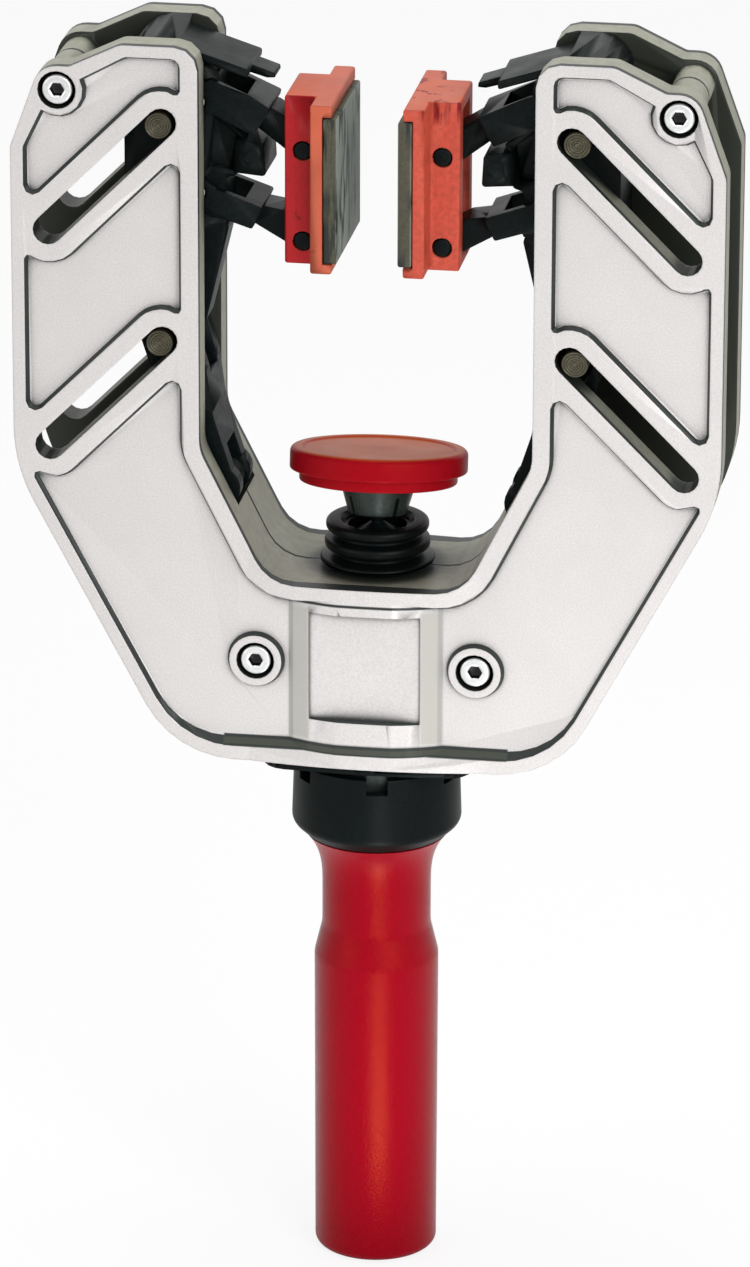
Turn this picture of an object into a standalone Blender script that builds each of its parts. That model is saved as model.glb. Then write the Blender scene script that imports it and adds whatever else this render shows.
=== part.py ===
"""Edge clamp for narrow boards: two-jaw frame with a screw-driven pressure disc.

Units are metres, +Z is up, +X is to the right and the front face looks along -Y.
The origin is the centre of the handle's flat end. Heights in the frame are given as
distances below the tops of the two arms.
"""
import math

import bmesh
import bpy
from mathutils import Matrix, Vector

# Clearances
GAP = 0.0003
SEAM_GAP = 0.0003
OVERRUN = 0.0040

# Fineness of round shapes
FILLET_STEP = 0.0013

# Pressure screw and the sleeve that drives it
SPINDLE_RADIUS = 0.0060
SPINDLE_THREAD_DEPTH = 0.0010
SPINDLE_TAIL_RISE = 0.0060
SPINDLE_STEM_RADIUS = 0.0013
SPINDLE_CONE_LENGTH = 0.0029
SPINDLE_SHOULDER_DROP = 0.0077
SPINDLE_THREAD_RADIUS = SPINDLE_RADIUS - SPINDLE_THREAD_DEPTH
SLEEVE_WALL = 0.0027
SLEEVE_SEAT_DEPTH = 0.0313
SLEEVE_FLANGE_WIDTH = 0.0040
SLEEVE_FLANGE_THICKNESS = 0.0034
SLEEVE_BUSH_CLEARANCE = 0.0042
SLEEVE_RADIUS = SPINDLE_THREAD_RADIUS + GAP + SLEEVE_WALL
SLEEVE_FLANGE_RADIUS = SLEEVE_RADIUS + SLEEVE_FLANGE_WIDTH
BUSH_WALL = 0.0037
BUSH_LENGTH = 0.0118
BUSH_COVER = 0.0023
BUSH_RADIUS = SPINDLE_RADIUS + GAP + BUSH_WALL

# Handle, collar and the plates under the frame
GRIP_LENGTH = 0.0973
GRIP_RADIUS = 0.0135
GRIP_END_STEP = 0.0002
GRIP_NECK_STEP = 0.0017
GRIP_MOUTH_FLARE = 0.0019
GRIP_EDGE_ROUNDING = 0.0020
GRIP_SHOULDER_HEIGHT = 0.0724
GRIP_SHOULDER_LENGTH = 0.0070
GRIP_FLARE_LENGTH = 0.0075
GRIP_END_RADIUS = GRIP_RADIUS - GRIP_END_STEP
GRIP_NECK_RADIUS = GRIP_RADIUS - GRIP_NECK_STEP
GRIP_MOUTH_RADIUS = GRIP_RADIUS + GRIP_MOUTH_FLARE
COLLAR_HEIGHT = 0.0174
COLLAR_RADIUS = 0.0184
COLLAR_TOP_STEP = 0.0005
COLLAR_FOOT_STEP = 0.0001
COLLAR_CONE_HEIGHT = 0.0027
COLLAR_WALL = 0.0022
COLLAR_CUP_DEPTH = 0.0052
COLLAR_NOTCH_WIDTH = 0.0046
COLLAR_NOTCH_DEPTH = 0.0034
COLLAR_NOTCHES = 6
COLLAR_NOTCH_START_DEG = -81.0
COLLAR_CLEARANCE = 0.0015
COLLAR_TOP_RADIUS = COLLAR_RADIUS - COLLAR_TOP_STEP
COLLAR_FOOT_RADIUS = GRIP_MOUTH_RADIUS + COLLAR_FOOT_STEP
FLANGE_THICKNESS = 0.0011
FLANGE_HALF_WIDTH = 0.0225
FLANGE_PROUD = 0.00035
FLANGE_CORNER_RADIUS = 0.0055
THRUST_RING_CLEARANCE = 0.0014

# Guide pins and the slots that they run in
PIN_RADIUS = 0.00285
PIN_START = 0.00127
PIN_END_SINK = 0.0010
PIN_RING_DEPTH = 0.0003
SLOT_CLEARANCE = 0.00035
SLOT_RIM = 0.00375
SLOT_START_INSET = 0.0077
SLOT_END_INSET = 0.00785
UPPER_SLOT_DOWN = 0.0165
CARRIAGE_SPAN = 0.0477
SLOT_WIDTH = 2 * (PIN_RADIUS + SLOT_CLEARANCE)
BAND_HALF_WIDTH = SLOT_WIDTH / 2 + SLOT_RIM
LOWER_SLOT_DOWN = UPPER_SLOT_DOWN + CARRIAGE_SPAN

# Frame outline, measured from the centre line and down from the arm tops
PLATE_INNER_FACE = 0.0100
PLATE_THICKNESS = 0.00725
THROAT_HALF_WIDTH = 0.0356
ARM_WIDTH = 0.0400
ARM_TOP_FLAT_WIDTH = 0.0154
ARM_TOP_RADIUS = 0.0050
ARM_CHAMFER_DOWN = 0.0230
ARM_CHAMFER_RADIUS = 0.0040
FRAME_SHOULDER_DROP = 0.00505
FRAME_SHOULDER_RADIUS = 0.0360
FRAME_SLOPE_WIDTH = 0.0343
FRAME_FOOT_RADIUS = 0.0220
THROAT_FLOOR_DROP = 0.02835
THROAT_FLOOR_RADIUS = 0.0095
THROAT_SLOPE_WIDTH = 0.0145
THROAT_SLOPE_HEIGHT = 0.0289
THROAT_SLOPE_RADIUS = 0.0100
BASE_HEIGHT = 0.0406
FRAME_HALF_DEPTH = PLATE_INNER_FACE + PLATE_THICKNESS
FRAME_HALF_WIDTH = THROAT_HALF_WIDTH + ARM_WIDTH
SLOT_START_ACROSS = THROAT_HALF_WIDTH + SLOT_START_INSET
SLOT_RUN = FRAME_HALF_WIDTH - SLOT_END_INSET - SLOT_START_ACROSS
SLOT_END_DOWN = LOWER_SLOT_DOWN + SLOT_RUN
THROAT_DEPTH = SLOT_END_DOWN + THROAT_FLOOR_DROP
THROAT_SLOPE_DOWN = THROAT_DEPTH - THROAT_SLOPE_HEIGHT
THROAT_FLOOR_HALF_WIDTH = THROAT_HALF_WIDTH - THROAT_SLOPE_WIDTH
FRAME_HEIGHT = THROAT_DEPTH + BASE_HEIGHT
FRAME_SHOULDER_DOWN = SLOT_END_DOWN + FRAME_SHOULDER_DROP
FRAME_FOOT_HALF_WIDTH = FRAME_HALF_WIDTH - FRAME_SLOPE_WIDTH
ARM_TOP_FLAT_END = THROAT_HALF_WIDTH + ARM_TOP_FLAT_WIDTH
FLANGE_HALF_DEPTH = FRAME_HALF_DEPTH + FLANGE_PROUD

# Channel between the two shells
CHANNEL_FLOOR_RISE = 0.0100
CHANNEL_MOUTH_RISE = 0.0190
CHANNEL_FLOOR_OUTSET = 0.0040
CHANNEL_MOUTH_OUTSET = 0.0101
CHANNEL_CORNER_RADIUS = 0.0045
CHANNEL_FLOOR_DOWN = THROAT_DEPTH - CHANNEL_FLOOR_RISE
CHANNEL_MOUTH_DOWN = THROAT_DEPTH - CHANNEL_MOUTH_RISE
CHANNEL_FLOOR_INNER = THROAT_HALF_WIDTH - CHANNEL_FLOOR_OUTSET
CHANNEL_MOUTH_INNER = THROAT_HALF_WIDTH - CHANNEL_MOUTH_OUTSET

# Sunk panels on both faces and the bulge round the spindle
RIM_WIDTH = 0.0027
RIM_TOP_WIDTH = 0.0025
RIM_BOTTOM_WIDTH = 0.0030
RIM_THROAT_WIDTH = 0.0037
PANEL_DEPTH = 0.0015
PANEL_DRAFT = 0.00065
PANEL_LEDGE_DRAFT = 0.0018
PANEL_CORNER_RADIUS = 0.0020
BULGE_RADIUS = 0.0365
BULGE_HEIGHT = 0.00405
RIM_BULGE_HEIGHT = 0.00215
RIM_BULGE_HALF_WIDTH = 0.0250
FIELD_HALF_WIDTH = 0.0120
FIELD_DROP = 0.0059
FIELD_HEIGHT = 0.0242
FIELD_SINK = 0.00015
FIELD_TOP_DOWN = THROAT_DEPTH + FIELD_DROP
FIELD_BOTTOM_DOWN = FIELD_TOP_DOWN + FIELD_HEIGHT
FIELD_SEAT = FRAME_HALF_DEPTH - FIELD_SINK

# Screws
SCREW_HEAD_RADIUS = 0.0034
SCREW_HEAD_HEIGHT = 0.0040
SCREW_HEAD_SINK = 0.0003
SCREW_RADIUS = 0.0020
SCREW_SOCKET_RADIUS = 0.0019
SCREW_SOCKET_DEPTH = 0.0022
SCREW_POINT_WALL = 0.0024
COUNTERBORE_CLEARANCE = 0.0007
ARM_SCREW_INSET = 0.0101
ARM_SCREW_DOWN = 0.01035
ARM_BOSS_WALL = 0.0011
SCREW_POST_WALL = 0.0019
BASE_SCREW_ACROSS = 0.02366
BASE_SCREW_DROP = 0.0178
BASE_BOSS_WALL = 0.00155
BASE_BOSS_DRAFT = 0.00055
COUNTERBORE_RADIUS = SCREW_HEAD_RADIUS + COUNTERBORE_CLEARANCE
COUNTERBORE_DEPTH = SCREW_HEAD_HEIGHT + SCREW_HEAD_SINK + GAP
ARM_SCREW_ACROSS = FRAME_HALF_WIDTH - ARM_SCREW_INSET
SCREW_BOSS_RADIUS = COUNTERBORE_RADIUS + ARM_BOSS_WALL
SCREW_POST_RADIUS = SCREW_RADIUS + GAP + SCREW_POST_WALL
BASE_SCREW_DOWN = THROAT_DEPTH + BASE_SCREW_DROP
BASE_BOSS_FACE_RADIUS = COUNTERBORE_RADIUS + BASE_BOSS_WALL
BASE_BOSS_RADIUS = BASE_BOSS_FACE_RADIUS + BASE_BOSS_DRAFT

# Carriages in the arms
CARRIAGE_HEAD_INSET = 0.0059
CARRIAGE_HEAD_WIDTH = 0.0111
CARRIAGE_HEAD_TOP_RADIUS = 0.0068
CARRIAGE_HEAD_HEIGHT = 0.0460
CARRIAGE_CORE_HALF_DEPTH = 0.0052
CARRIAGE_LEG_HALF_DEPTH = 0.0040
CARRIAGE_BOSS_WALL = 0.00185
FLANGE_TONGUE_HALF_DEPTH = 0.0035
TOP_FLANGE_CLEARANCE = 0.0015
NOSE_HALF_DEPTH = 0.0070
NOSE_RING_RADIUS = 0.0017
NOSE_RING_HEIGHT = 0.0005
CORE_POCKET_DEPTH = 0.0024
CARRIAGE_HEAD_INNER = THROAT_HALF_WIDTH + CARRIAGE_HEAD_INSET
CARRIAGE_HEAD_OUTER = CARRIAGE_HEAD_INNER + CARRIAGE_HEAD_WIDTH
CARRIAGE_BOSS_RADIUS = PIN_RADIUS + GAP + CARRIAGE_BOSS_WALL
TOP_FLANGE_HALF_DEPTH = PLATE_INNER_FACE - TOP_FLANGE_CLEARANCE

# Links between carriage and jaw
LINK_PIVOT_INSET = 0.0018
LINK_PIVOT_DOWN = 0.01436
LINK_SPAN = 0.01974
LINK_REACH = 0.0226
LINK_RISE = 0.0093
LINK_PIN_RADIUS = 0.0016
LINK_CHEEK_THICKNESS = 0.0021
LINK_TONGUE_HALF_DEPTH = 0.0043
LINK_TONGUE_RADIUS = 0.0030
LINK_PIVOT_ACROSS = THROAT_HALF_WIDTH + LINK_PIVOT_INSET
LINK_CHEEK_INNER = CARRIAGE_CORE_HALF_DEPTH + GAP
LINK_CHEEK_OUTER = LINK_CHEEK_INNER + LINK_CHEEK_THICKNESS

# Jaws and pads, placed from the pins that the links hold
JAW_PIN_RADIUS = 0.0019
JAW_PIN_WALL = 0.0019
JAW_WALL = 0.00345
JAW_SLOT_FACE_CLEARANCE = 0.0008
JAW_SLOT_FOOT_CLEARANCE = 0.0004
JAW_SLOT_ROOF = 0.0024
JAW_SLOT_SILL = 0.0015
JAW_TOP_RISE = 0.01206
JAW_PLATE_THICKNESS = 0.00455
JAW_PLATE_HALF_DEPTH = 0.0153
JAW_BLOCK_HALF_DEPTH = 0.0085
JAW_EDGE = 0.0005
PAD_PROUD = 0.00115
PAD_THICKNESS = 0.0029
PAD_TOP_MARGIN = 0.00285
PAD_FOOT_MARGIN = 0.0023
PAD_SIDE_PROUD = 0.0002
PAD_EDGE = 0.0005
JAW_PIN_ACROSS = LINK_PIVOT_ACROSS - LINK_REACH
JAW_UPPER_PIN_DOWN = LINK_PIVOT_DOWN + LINK_RISE
JAW_LOWER_PIN_DOWN = JAW_UPPER_PIN_DOWN + LINK_SPAN
JAW_SLOT_FACE = JAW_PIN_ACROSS - LINK_TONGUE_RADIUS - JAW_SLOT_FACE_CLEARANCE
JAW_PLATE_FACE = JAW_SLOT_FACE - JAW_WALL
JAW_PLATE_BACK = JAW_PLATE_FACE + JAW_PLATE_THICKNESS
JAW_BLOCK_BACK = JAW_PIN_ACROSS + JAW_PIN_RADIUS + JAW_PIN_WALL
JAW_TOP_DOWN = JAW_UPPER_PIN_DOWN - JAW_TOP_RISE
JAW_SLOT_TOP_DOWN = JAW_TOP_DOWN + JAW_SLOT_ROOF
JAW_SLOT_FOOT_DOWN = JAW_LOWER_PIN_DOWN + LINK_TONGUE_RADIUS + JAW_SLOT_FOOT_CLEARANCE
JAW_FOOT_DOWN = JAW_SLOT_FOOT_DOWN + JAW_SLOT_SILL
JAW_GAP_HALF = JAW_PLATE_FACE - PAD_PROUD
PAD_TOP_DOWN = JAW_TOP_DOWN + PAD_TOP_MARGIN
PAD_FOOT_DOWN = JAW_FOOT_DOWN - PAD_FOOT_MARGIN
PAD_HALF_DEPTH = JAW_PLATE_HALF_DEPTH + PAD_SIDE_PROUD

# Levers
LEVER_PIVOT_OUTSET = 0.0025
LEVER_PIVOT_RISE = 0.0176
LEVER_SIDE_CLEARANCE = 0.0020
LEVER_WEB_START = 0.0080
LEVER_WEB_CLEARANCE = 0.0031
LEVER_HUB_RADIUS = 0.0047
LEVER_PIN_RADIUS = 0.0020
LEVER_PIN_SEAT = 0.0024
LEVER_EYE_WALL = 0.0022
LEVER_SLOT_SIDE_CLEARANCE = 0.0007
LEVER_SLOT_END_CLEARANCE = 0.0005
LEVER_ROOT_HALF_WIDTH = 0.0038
LEVER_PIVOT_ACROSS = THROAT_HALF_WIDTH - LEVER_PIVOT_OUTSET
LEVER_PIVOT_DOWN = THROAT_DEPTH - LEVER_PIVOT_RISE
LEVER_HALF_DEPTH = PLATE_INNER_FACE - LEVER_SIDE_CLEARANCE
SPRING_WIRE_RADIUS = 0.00045
SPRING_COIL_RADIUS = 0.0033
SPRING_PITCH = 0.00145
SPRING_COILS = 4
SPRING_LEG = 0.0035

# Ribbed seal on the floor of the throat
SEAL_WALL = 0.0029
SEAL_HEIGHT = 0.0100
SEAL_RIB_THICKNESS = 0.0016
SEAL_RIB_RISE = (0.0091, 0.0051, 0.0010)
SEAL_RIB_WIDTH = (0.00185, 0.00213, 0.00305)
SEAL_DISH_WALL = 0.0012
SEAL_DISH_DEPTH = 0.0012
SEAL_CORE_RADIUS = SPINDLE_RADIUS + GAP + SEAL_WALL
SEAL_DISH_RADIUS = SEAL_CORE_RADIUS - SEAL_DISH_WALL

# Ball, socket and pressure disc
BALL_SEAL_CLEARANCE = 0.0041
BALL_RADIUS = 0.0035
BALL_STEM_ENGAGEMENT = 0.0012
SOCKET_RISE = 0.0036
SOCKET_DROP = 0.0029
SOCKET_TOP_RADIUS = 0.0081
SOCKET_FOOT_RADIUS = 0.0062
SOCKET_MOUTH_RADIUS = 0.0036
SOCKET_LIP_RADIUS = 0.0026
SOCKET_STUD_RADIUS = 0.0030
SOCKET_STUD_LENGTH = 0.0048
SOCKET_SLIT_WIDTH = 0.0011
SOCKET_SLIT_TOP = 0.0012
DISC_RADIUS = 0.01905
DISC_THICKNESS = 0.0075
DISC_STEP_WIDTH = 0.0021
DISC_STEP_HEIGHT = 0.0025
DISC_EDGE_ROUNDING = 0.0012
DISC_RIM_WIDTH = 0.00255
DISC_DISH_DEPTH = 0.0004
DISC_LEAN_DEG = 10.0
BALL_DOWN = THROAT_DEPTH - SEAL_HEIGHT - BALL_SEAL_CLEARANCE
DISC_RISE = SOCKET_RISE + GAP + DISC_THICKNESS
DISC_STEP_RADIUS = DISC_RADIUS - DISC_STEP_WIDTH
DISC_DISH_RADIUS = DISC_RADIUS - DISC_RIM_WIDTH

# Shares of the piece that carries each shape
PIN_RING_SHARES = (0.38, 0.52, 0.70)
SCREW_EDGE_SHARE = 0.12
SPINDLE_EDGE_SHARE = 0.15
DISC_EDGE_SHARE = 0.3
FLANGE_CREST_SHARE = 0.7
COLLAR_POST_SHARE = 0.5
ARM_HOLLOW_SHARE = 0.25
GRIP_SHOULDER_SHARES = (0, 0.33, 0.67, 1)
GRIP_FLARE_SHARES = (0, 0.4, 0.7, 0.9, 1)

# Shares of CARRIAGE_SPAN, measured from the upper guide pin: outwards, then upwards
TOP_FLANGE_SHARES = [(0.038, 0.360, 0), (-0.375, 0.227, 0.010), (-0.372, 0.190, 0.008),
                     (-0.060, 0.290, 0)]
FLANGE_TONGUE_SHARES = [(-0.290, 0.250, 0), (-0.474, 0.188, 0.006), (-0.476, 0.168, 0.004),
                        (-0.440, 0.166, 0.010), (-0.285, 0.210, 0)]
CORE_SHARES = [(-0.040, 0.290, 0), (-0.231, 0.190, 0.03), (-0.243, 0.000, 0.01),
               (-0.348, -0.076, 0.01), (-0.312, -0.276, 0.02), (-0.262, -0.290, 0.02),
               (-0.270, -0.500, 0.02), (-0.040, -0.520, 0)]
CORE_POCKET_SHARES = [(-0.200, -0.010, 0.012), (-0.308, -0.086, 0.012), (-0.280, -0.246, 0.012),
                      (-0.185, -0.246, 0.012)]
NOSE_SHARES = [(-0.438, -0.124, 0.012), (-0.352, -0.105, 0.004), (-0.310, -0.110, 0),
               (-0.300, -0.255, 0), (-0.327, -0.256, 0.004), (-0.446, -0.266, 0.014)]
NOSE_RING_SHARE = (-0.386, -0.184)
LEG_SHARES = [(0.036, -0.480, 0), (-0.273, -0.508, 0.02), (-0.165, -0.966, 0.04),
              (-0.103, -1.010, 0.04), (0.000, -1.060, 0), (0.104, -0.990, 0.04),
              (0.060, -0.700, 0.10)]

# Shares of the straight length between a link's two pivots: inwards, then upwards
UPPER_CHEEK_SHARES = [(0.630, -0.026, 0.02), (0.115, 0.203, 0.03), (-0.075, 0.125, 0.09),
                      (-0.130, -0.047, 0.09), (0.010, -0.147, 0.08), (0.131, -0.104, 0.04),
                      (0.487, -0.276, 0.02), (0.618, -0.071, 0.01)]
LOWER_CHEEK_SHARES = [(0.565, -0.110, 0.02), (0.160, 0.030, 0.03), (0.057, 0.119, 0.05),
                      (-0.082, 0.102, 0.08), (-0.127, -0.020, 0.08), (-0.049, -0.135, 0.08),
                      (0.115, -0.217, 0.03), (0.245, -0.233, 0.03), (0.475, -0.307, 0.02)]
UPPER_CHEEK_GAP_SHARES = [(-0.400, 0.400, 0), (-0.400, -0.500, 0), (0.415, -0.500, 0),
                          (0.425, 0.400, 0)]
LOWER_CHEEK_GAP_SHARES = [(-0.400, 0.400, 0), (-0.400, -0.500, 0), (0.375, -0.500, 0),
                          (0.435, 0.400, 0)]
UPPER_TONGUE_SHARES = [(0.540, -0.045, 0), (0.640, -0.065, 0.03), (0.800, -0.165, 0.06)]
UPPER_TONGUE_LOW_SHARES = [(0.770, -0.440, 0.06), (0.500, -0.235, 0)]
LOWER_TONGUE_SHARES = [(0.470, -0.120, 0), (0.730, -0.162, 0.04), (0.860, -0.235, 0.05)]
LOWER_TONGUE_LOW_SHARES = [(0.790, -0.470, 0.06), (0.440, -0.270, 0)]

# Shares of a slot band's half width and of the lever's length
BAND_TOP_SHARE = 0.79
BAND_FOOT_SHARE = 0.66
BAND_SILL_SHARE = 0.80
LEVER_WAIST_SHARE = 0.42
LEVER_NECK_SHARE = 0.72

FRAME_BOTTOM = GRIP_LENGTH + GAP + COLLAR_HEIGHT + COLLAR_CLEARANCE + FLANGE_THICKNESS + GAP
FRAME_TOP = FRAME_BOTTOM + FRAME_HEIGHT
FLANGE_TOP = FRAME_BOTTOM - GAP
COLLAR_FOOT = GRIP_LENGTH + GAP
COLLAR_TOP = COLLAR_FOOT + COLLAR_HEIGHT
BUSH_TOP = FRAME_TOP - THROAT_DEPTH - BUSH_COVER
BUSH_FOOT = BUSH_TOP - BUSH_LENGTH
SLEEVE_TOP_HEIGHT = BUSH_FOOT - SLEEVE_BUSH_CLEARANCE
SLEEVE_END_HEIGHT = GRIP_LENGTH - SLEEVE_SEAT_DEPTH
SPINDLE_END_HEIGHT = SLEEVE_END_HEIGHT + SPINDLE_TAIL_RISE

FRONT = -1
REAR = 1
SIDES = {"left": -1, "right": 1}

SHELL_GREY = ((0.62, 0.60, 0.58), 0.42, 0.75)
CAST_BLACK = ((0.022, 0.028, 0.027), 0.38, 0.35)
JAW_RED = ((0.62, 0.012, 0.018), 0.38, 0.0)
GRIP_RED = ((0.45, 0.006, 0.014), 0.30, 0.0)
PAD_GREY = ((0.16, 0.18, 0.15), 0.80, 0.0)
STEEL = ((0.55, 0.54, 0.50), 0.30, 1.0)
PIN_STEEL = ((0.30, 0.28, 0.21), 0.34, 1.0)
BRIGHT_STEEL = ((0.80, 0.80, 0.82), 0.18, 1.0)
RUBBER = ((0.012, 0.013, 0.013), 0.62, 0.0)
PLASTIC_BLACK = ((0.018, 0.020, 0.021), 0.45, 0.0)
BRONZE = ((0.45, 0.30, 0.14), 0.35, 1.0)
SOCKET_GREY = ((0.10, 0.115, 0.105), 0.40, 0.6)


def level(down):
    """Height of a place given as its distance below the arm tops."""
    return FRAME_TOP - down


def clear_scene():
    """Remove whatever objects the open file holds."""
    for thing in list(bpy.data.objects):
        bpy.data.objects.remove(thing)


# Outlines in the plane of the frame: across and up

def round_corners(corners):
    """Turn corners (across, up, radius) into a list of points with round fillets."""
    points = []
    count = len(corners)
    for index, (x, z, radius) in enumerate(corners):
        here = Vector((x, z))
        if radius == 0:
            points.append(here)
            continue
        before = Vector(corners[index - 1][:2]) - here
        after = Vector(corners[(index + 1) % count][:2]) - here
        before.normalize()
        after.normalize()
        half = before.angle(after) / 2
        reach = radius / math.tan(half)
        start = here + before * reach
        end = here + after * reach
        middle = here + (before + after).normalized() * (radius / math.sin(half))
        first = start - middle
        last = end - middle
        turn = first.angle_signed(last)
        steps = 2 + int(math.sqrt(radius / FILLET_STEP))
        for step in range(steps + 1):
            swing = -turn * step / steps
            cos, sin = math.cos(swing), math.sin(swing)
            points.append(middle + Vector((first.x * cos - first.y * sin,
                                           first.x * sin + first.y * cos)))
    return points


def arc(across, up, radius, start_deg, end_deg, steps=8):
    """Sharp corners along an arc about a centre."""
    corners = []
    for step in range(steps + 1):
        angle = math.radians(start_deg + (end_deg - start_deg) * step / steps)
        corners.append((across + radius * math.cos(angle), up + radius * math.sin(angle), 0))
    return corners


def mirrored(corners):
    """The same corners on the other side of the centre line, in reverse order."""
    return [(-x, z, radius) for x, z, radius in reversed(corners)]


def inset(points, distance):
    """Move an outline's points inwards, which is outwards for a negative distance."""
    area = sum(a.x * b.y - b.x * a.y for a, b in zip(points, points[1:] + points[:1]))
    side = 1 if area > 0 else -1
    moved = []
    for index, here in enumerate(points):
        back = (here - points[index - 1]).normalized()
        ahead = (points[(index + 1) % len(points)] - here).normalized()
        first = Vector((-back.y, back.x)) * side
        second = Vector((-ahead.y, ahead.x)) * side
        moved.append(here + (first + second) * (distance / (1 + first.dot(second))))
    return moved


def line_crossing(a, b, offset, c, d, other_offset):
    """Where two lines cross after each is moved to its left by its offset."""
    first = (Vector(b) - Vector(a)).normalized()
    second = (Vector(d) - Vector(c)).normalized()
    start = Vector(a) + Vector((-first.y, first.x)) * offset
    other = Vector(c) + Vector((-second.y, second.x)) * other_offset
    gap = other - start
    along = (gap.x * second.y - gap.y * second.x) / (first.x * second.y - first.y * second.x)
    return start + first * along


# Solids

def new_object(name, mesh_builder):
    """Make an object from a bmesh, with its faces turned outwards."""
    bmesh.ops.remove_doubles(mesh_builder, verts=mesh_builder.verts, dist=GAP / 300)
    bmesh.ops.recalc_face_normals(mesh_builder, faces=mesh_builder.faces)
    mesh = bpy.data.meshes.new(name)
    mesh_builder.to_mesh(mesh)
    mesh_builder.free()
    thing = bpy.data.objects.new(name, mesh)
    bpy.context.scene.collection.objects.link(thing)
    return thing


def loft(name, rings):
    """A solid through rings of equal point counts, closed at both ends."""
    builder = bmesh.new()
    rows = [[builder.verts.new(point) for point in ring] for ring in rings]
    for low, high in zip(rows, rows[1:]):
        for index in range(len(low)):
            ahead = (index + 1) % len(low)
            builder.faces.new((low[index], low[ahead], high[ahead], high[index]))
    builder.faces.new(list(reversed(rows[0])))
    builder.faces.new(rows[-1])
    return new_object(name, builder)


def prism(name, points, start, end):
    """An outline in the frame's plane, run through the depth from start to end."""
    return loft(name, [[Vector((p.x, depth, p.y)) for p in points] for depth in (start, end)])


def slab(name, points, low, high):
    """An outline seen from above, run through the height from low to high."""
    return loft(name, [[Vector((p.x, p.y, height)) for p in points] for height in (low, high)])


def box(name, low, high):
    """A box between two opposite corners."""
    corners = [Vector((low[0], low[1])), Vector((high[0], low[1])),
               Vector((high[0], high[1])), Vector((low[0], high[1]))]
    return slab(name, corners, low[2], high[2])


def turned(name, profile, steps=24, bore=False):
    """A profile of (radius, height) turned about the upright axis.

    Without a bore the profile starts and ends on the axis. With one it's a closed loop.
    """
    builder = bmesh.new()
    rows = []
    for radius, height in profile:
        if radius == 0:
            rows.append([builder.verts.new((0, 0, height))])
            continue
        rows.append([builder.verts.new((radius * math.cos(math.tau * step / steps),
                                        radius * math.sin(math.tau * step / steps), height))
                     for step in range(steps)])
    pairs = list(zip(rows, rows[1:] + rows[:1] if bore else rows[1:]))
    for low, high in pairs:
        for index in range(steps):
            ahead = (index + 1) % steps
            corners = [low[index % len(low)], low[ahead % len(low)],
                       high[ahead % len(high)], high[index % len(high)]]
            builder.faces.new(list(dict.fromkeys(corners)))
    return new_object(name, builder)


def rod(name, across, up, radius, start, end, steps=16):
    """A round bar along the depth of the frame."""
    thing = turned(name, [(0, start), (radius, start), (radius, end), (0, end)], steps)
    lay_along_depth(thing)
    thing.data.transform(Matrix.Translation((across, 0, up)))
    return thing


def lay_along_depth(thing):
    """Turn an upright solid so that its axis runs front to back."""
    thing.data.transform(Matrix(((1, 0, 0, 0), (0, 0, 1, 0), (0, -1, 0, 0), (0, 0, 0, 1))))


def combine(target, tool, operation):
    """Join, cut or intersect two solids for good, and drop the tool."""
    modifier = target.modifiers.new(operation.title(), "BOOLEAN")
    modifier.object = tool
    modifier.operation = operation
    modifier.solver = "EXACT"
    view = bpy.context.evaluated_depsgraph_get()
    mesh = bpy.data.meshes.new_from_object(target.evaluated_get(view))
    target.modifiers.clear()
    target.data = mesh
    close_faces(mesh)
    bpy.data.objects.remove(tool)


def close_faces(mesh):
    """Put back a flat face that a boolean left out of a closed solid."""
    work = bmesh.new()
    work.from_mesh(mesh)
    rims = [edge for edge in work.edges if edge.is_boundary]
    if rims:
        bmesh.ops.holes_fill(work, edges=rims)
        bmesh.ops.recalc_face_normals(work, faces=work.faces)
        work.to_mesh(mesh)
    work.free()


def cut(target, *tools):
    """Take the tools away from the target."""
    for tool in tools:
        combine(target, tool, "DIFFERENCE")


def join(target, *tools):
    """Add the tools to the target."""
    for tool in tools:
        combine(target, tool, "UNION")


def mirror_across(thing):
    """Move a solid to the other side of the centre line."""
    thing.data.transform(Matrix.Diagonal((-1, 1, 1, 1)))
    thing.data.flip_normals()


def finish(thing, look, origin=(0, 0, 0), side=1, smooth_deg=32.0):
    """Give a solid its material, its side of the frame, its origin and its shading."""
    if side < 0:
        mirror_across(thing)
    place = Vector((origin[0] * side, origin[1], origin[2]))
    thing.data.transform(Matrix.Translation(-place))
    thing.location = place
    colour, roughness, metallic = look
    material = bpy.data.materials.new(thing.name + "_finish")
    material.use_nodes = True
    shader = material.node_tree.nodes["Principled BSDF"]
    shader.inputs["Base Color"].default_value = (*colour, 1)
    shader.inputs["Roughness"].default_value = roughness
    shader.inputs["Metallic"].default_value = metallic
    thing.data.materials.clear()
    thing.data.materials.append(material)
    for polygon in thing.data.polygons:
        polygon.use_smooth = True
        polygon.material_index = 0
    thing.data.set_sharp_from_angle(angle=math.radians(smooth_deg))
    thing.data.name = thing.name
    return thing


# Frame shells

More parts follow.
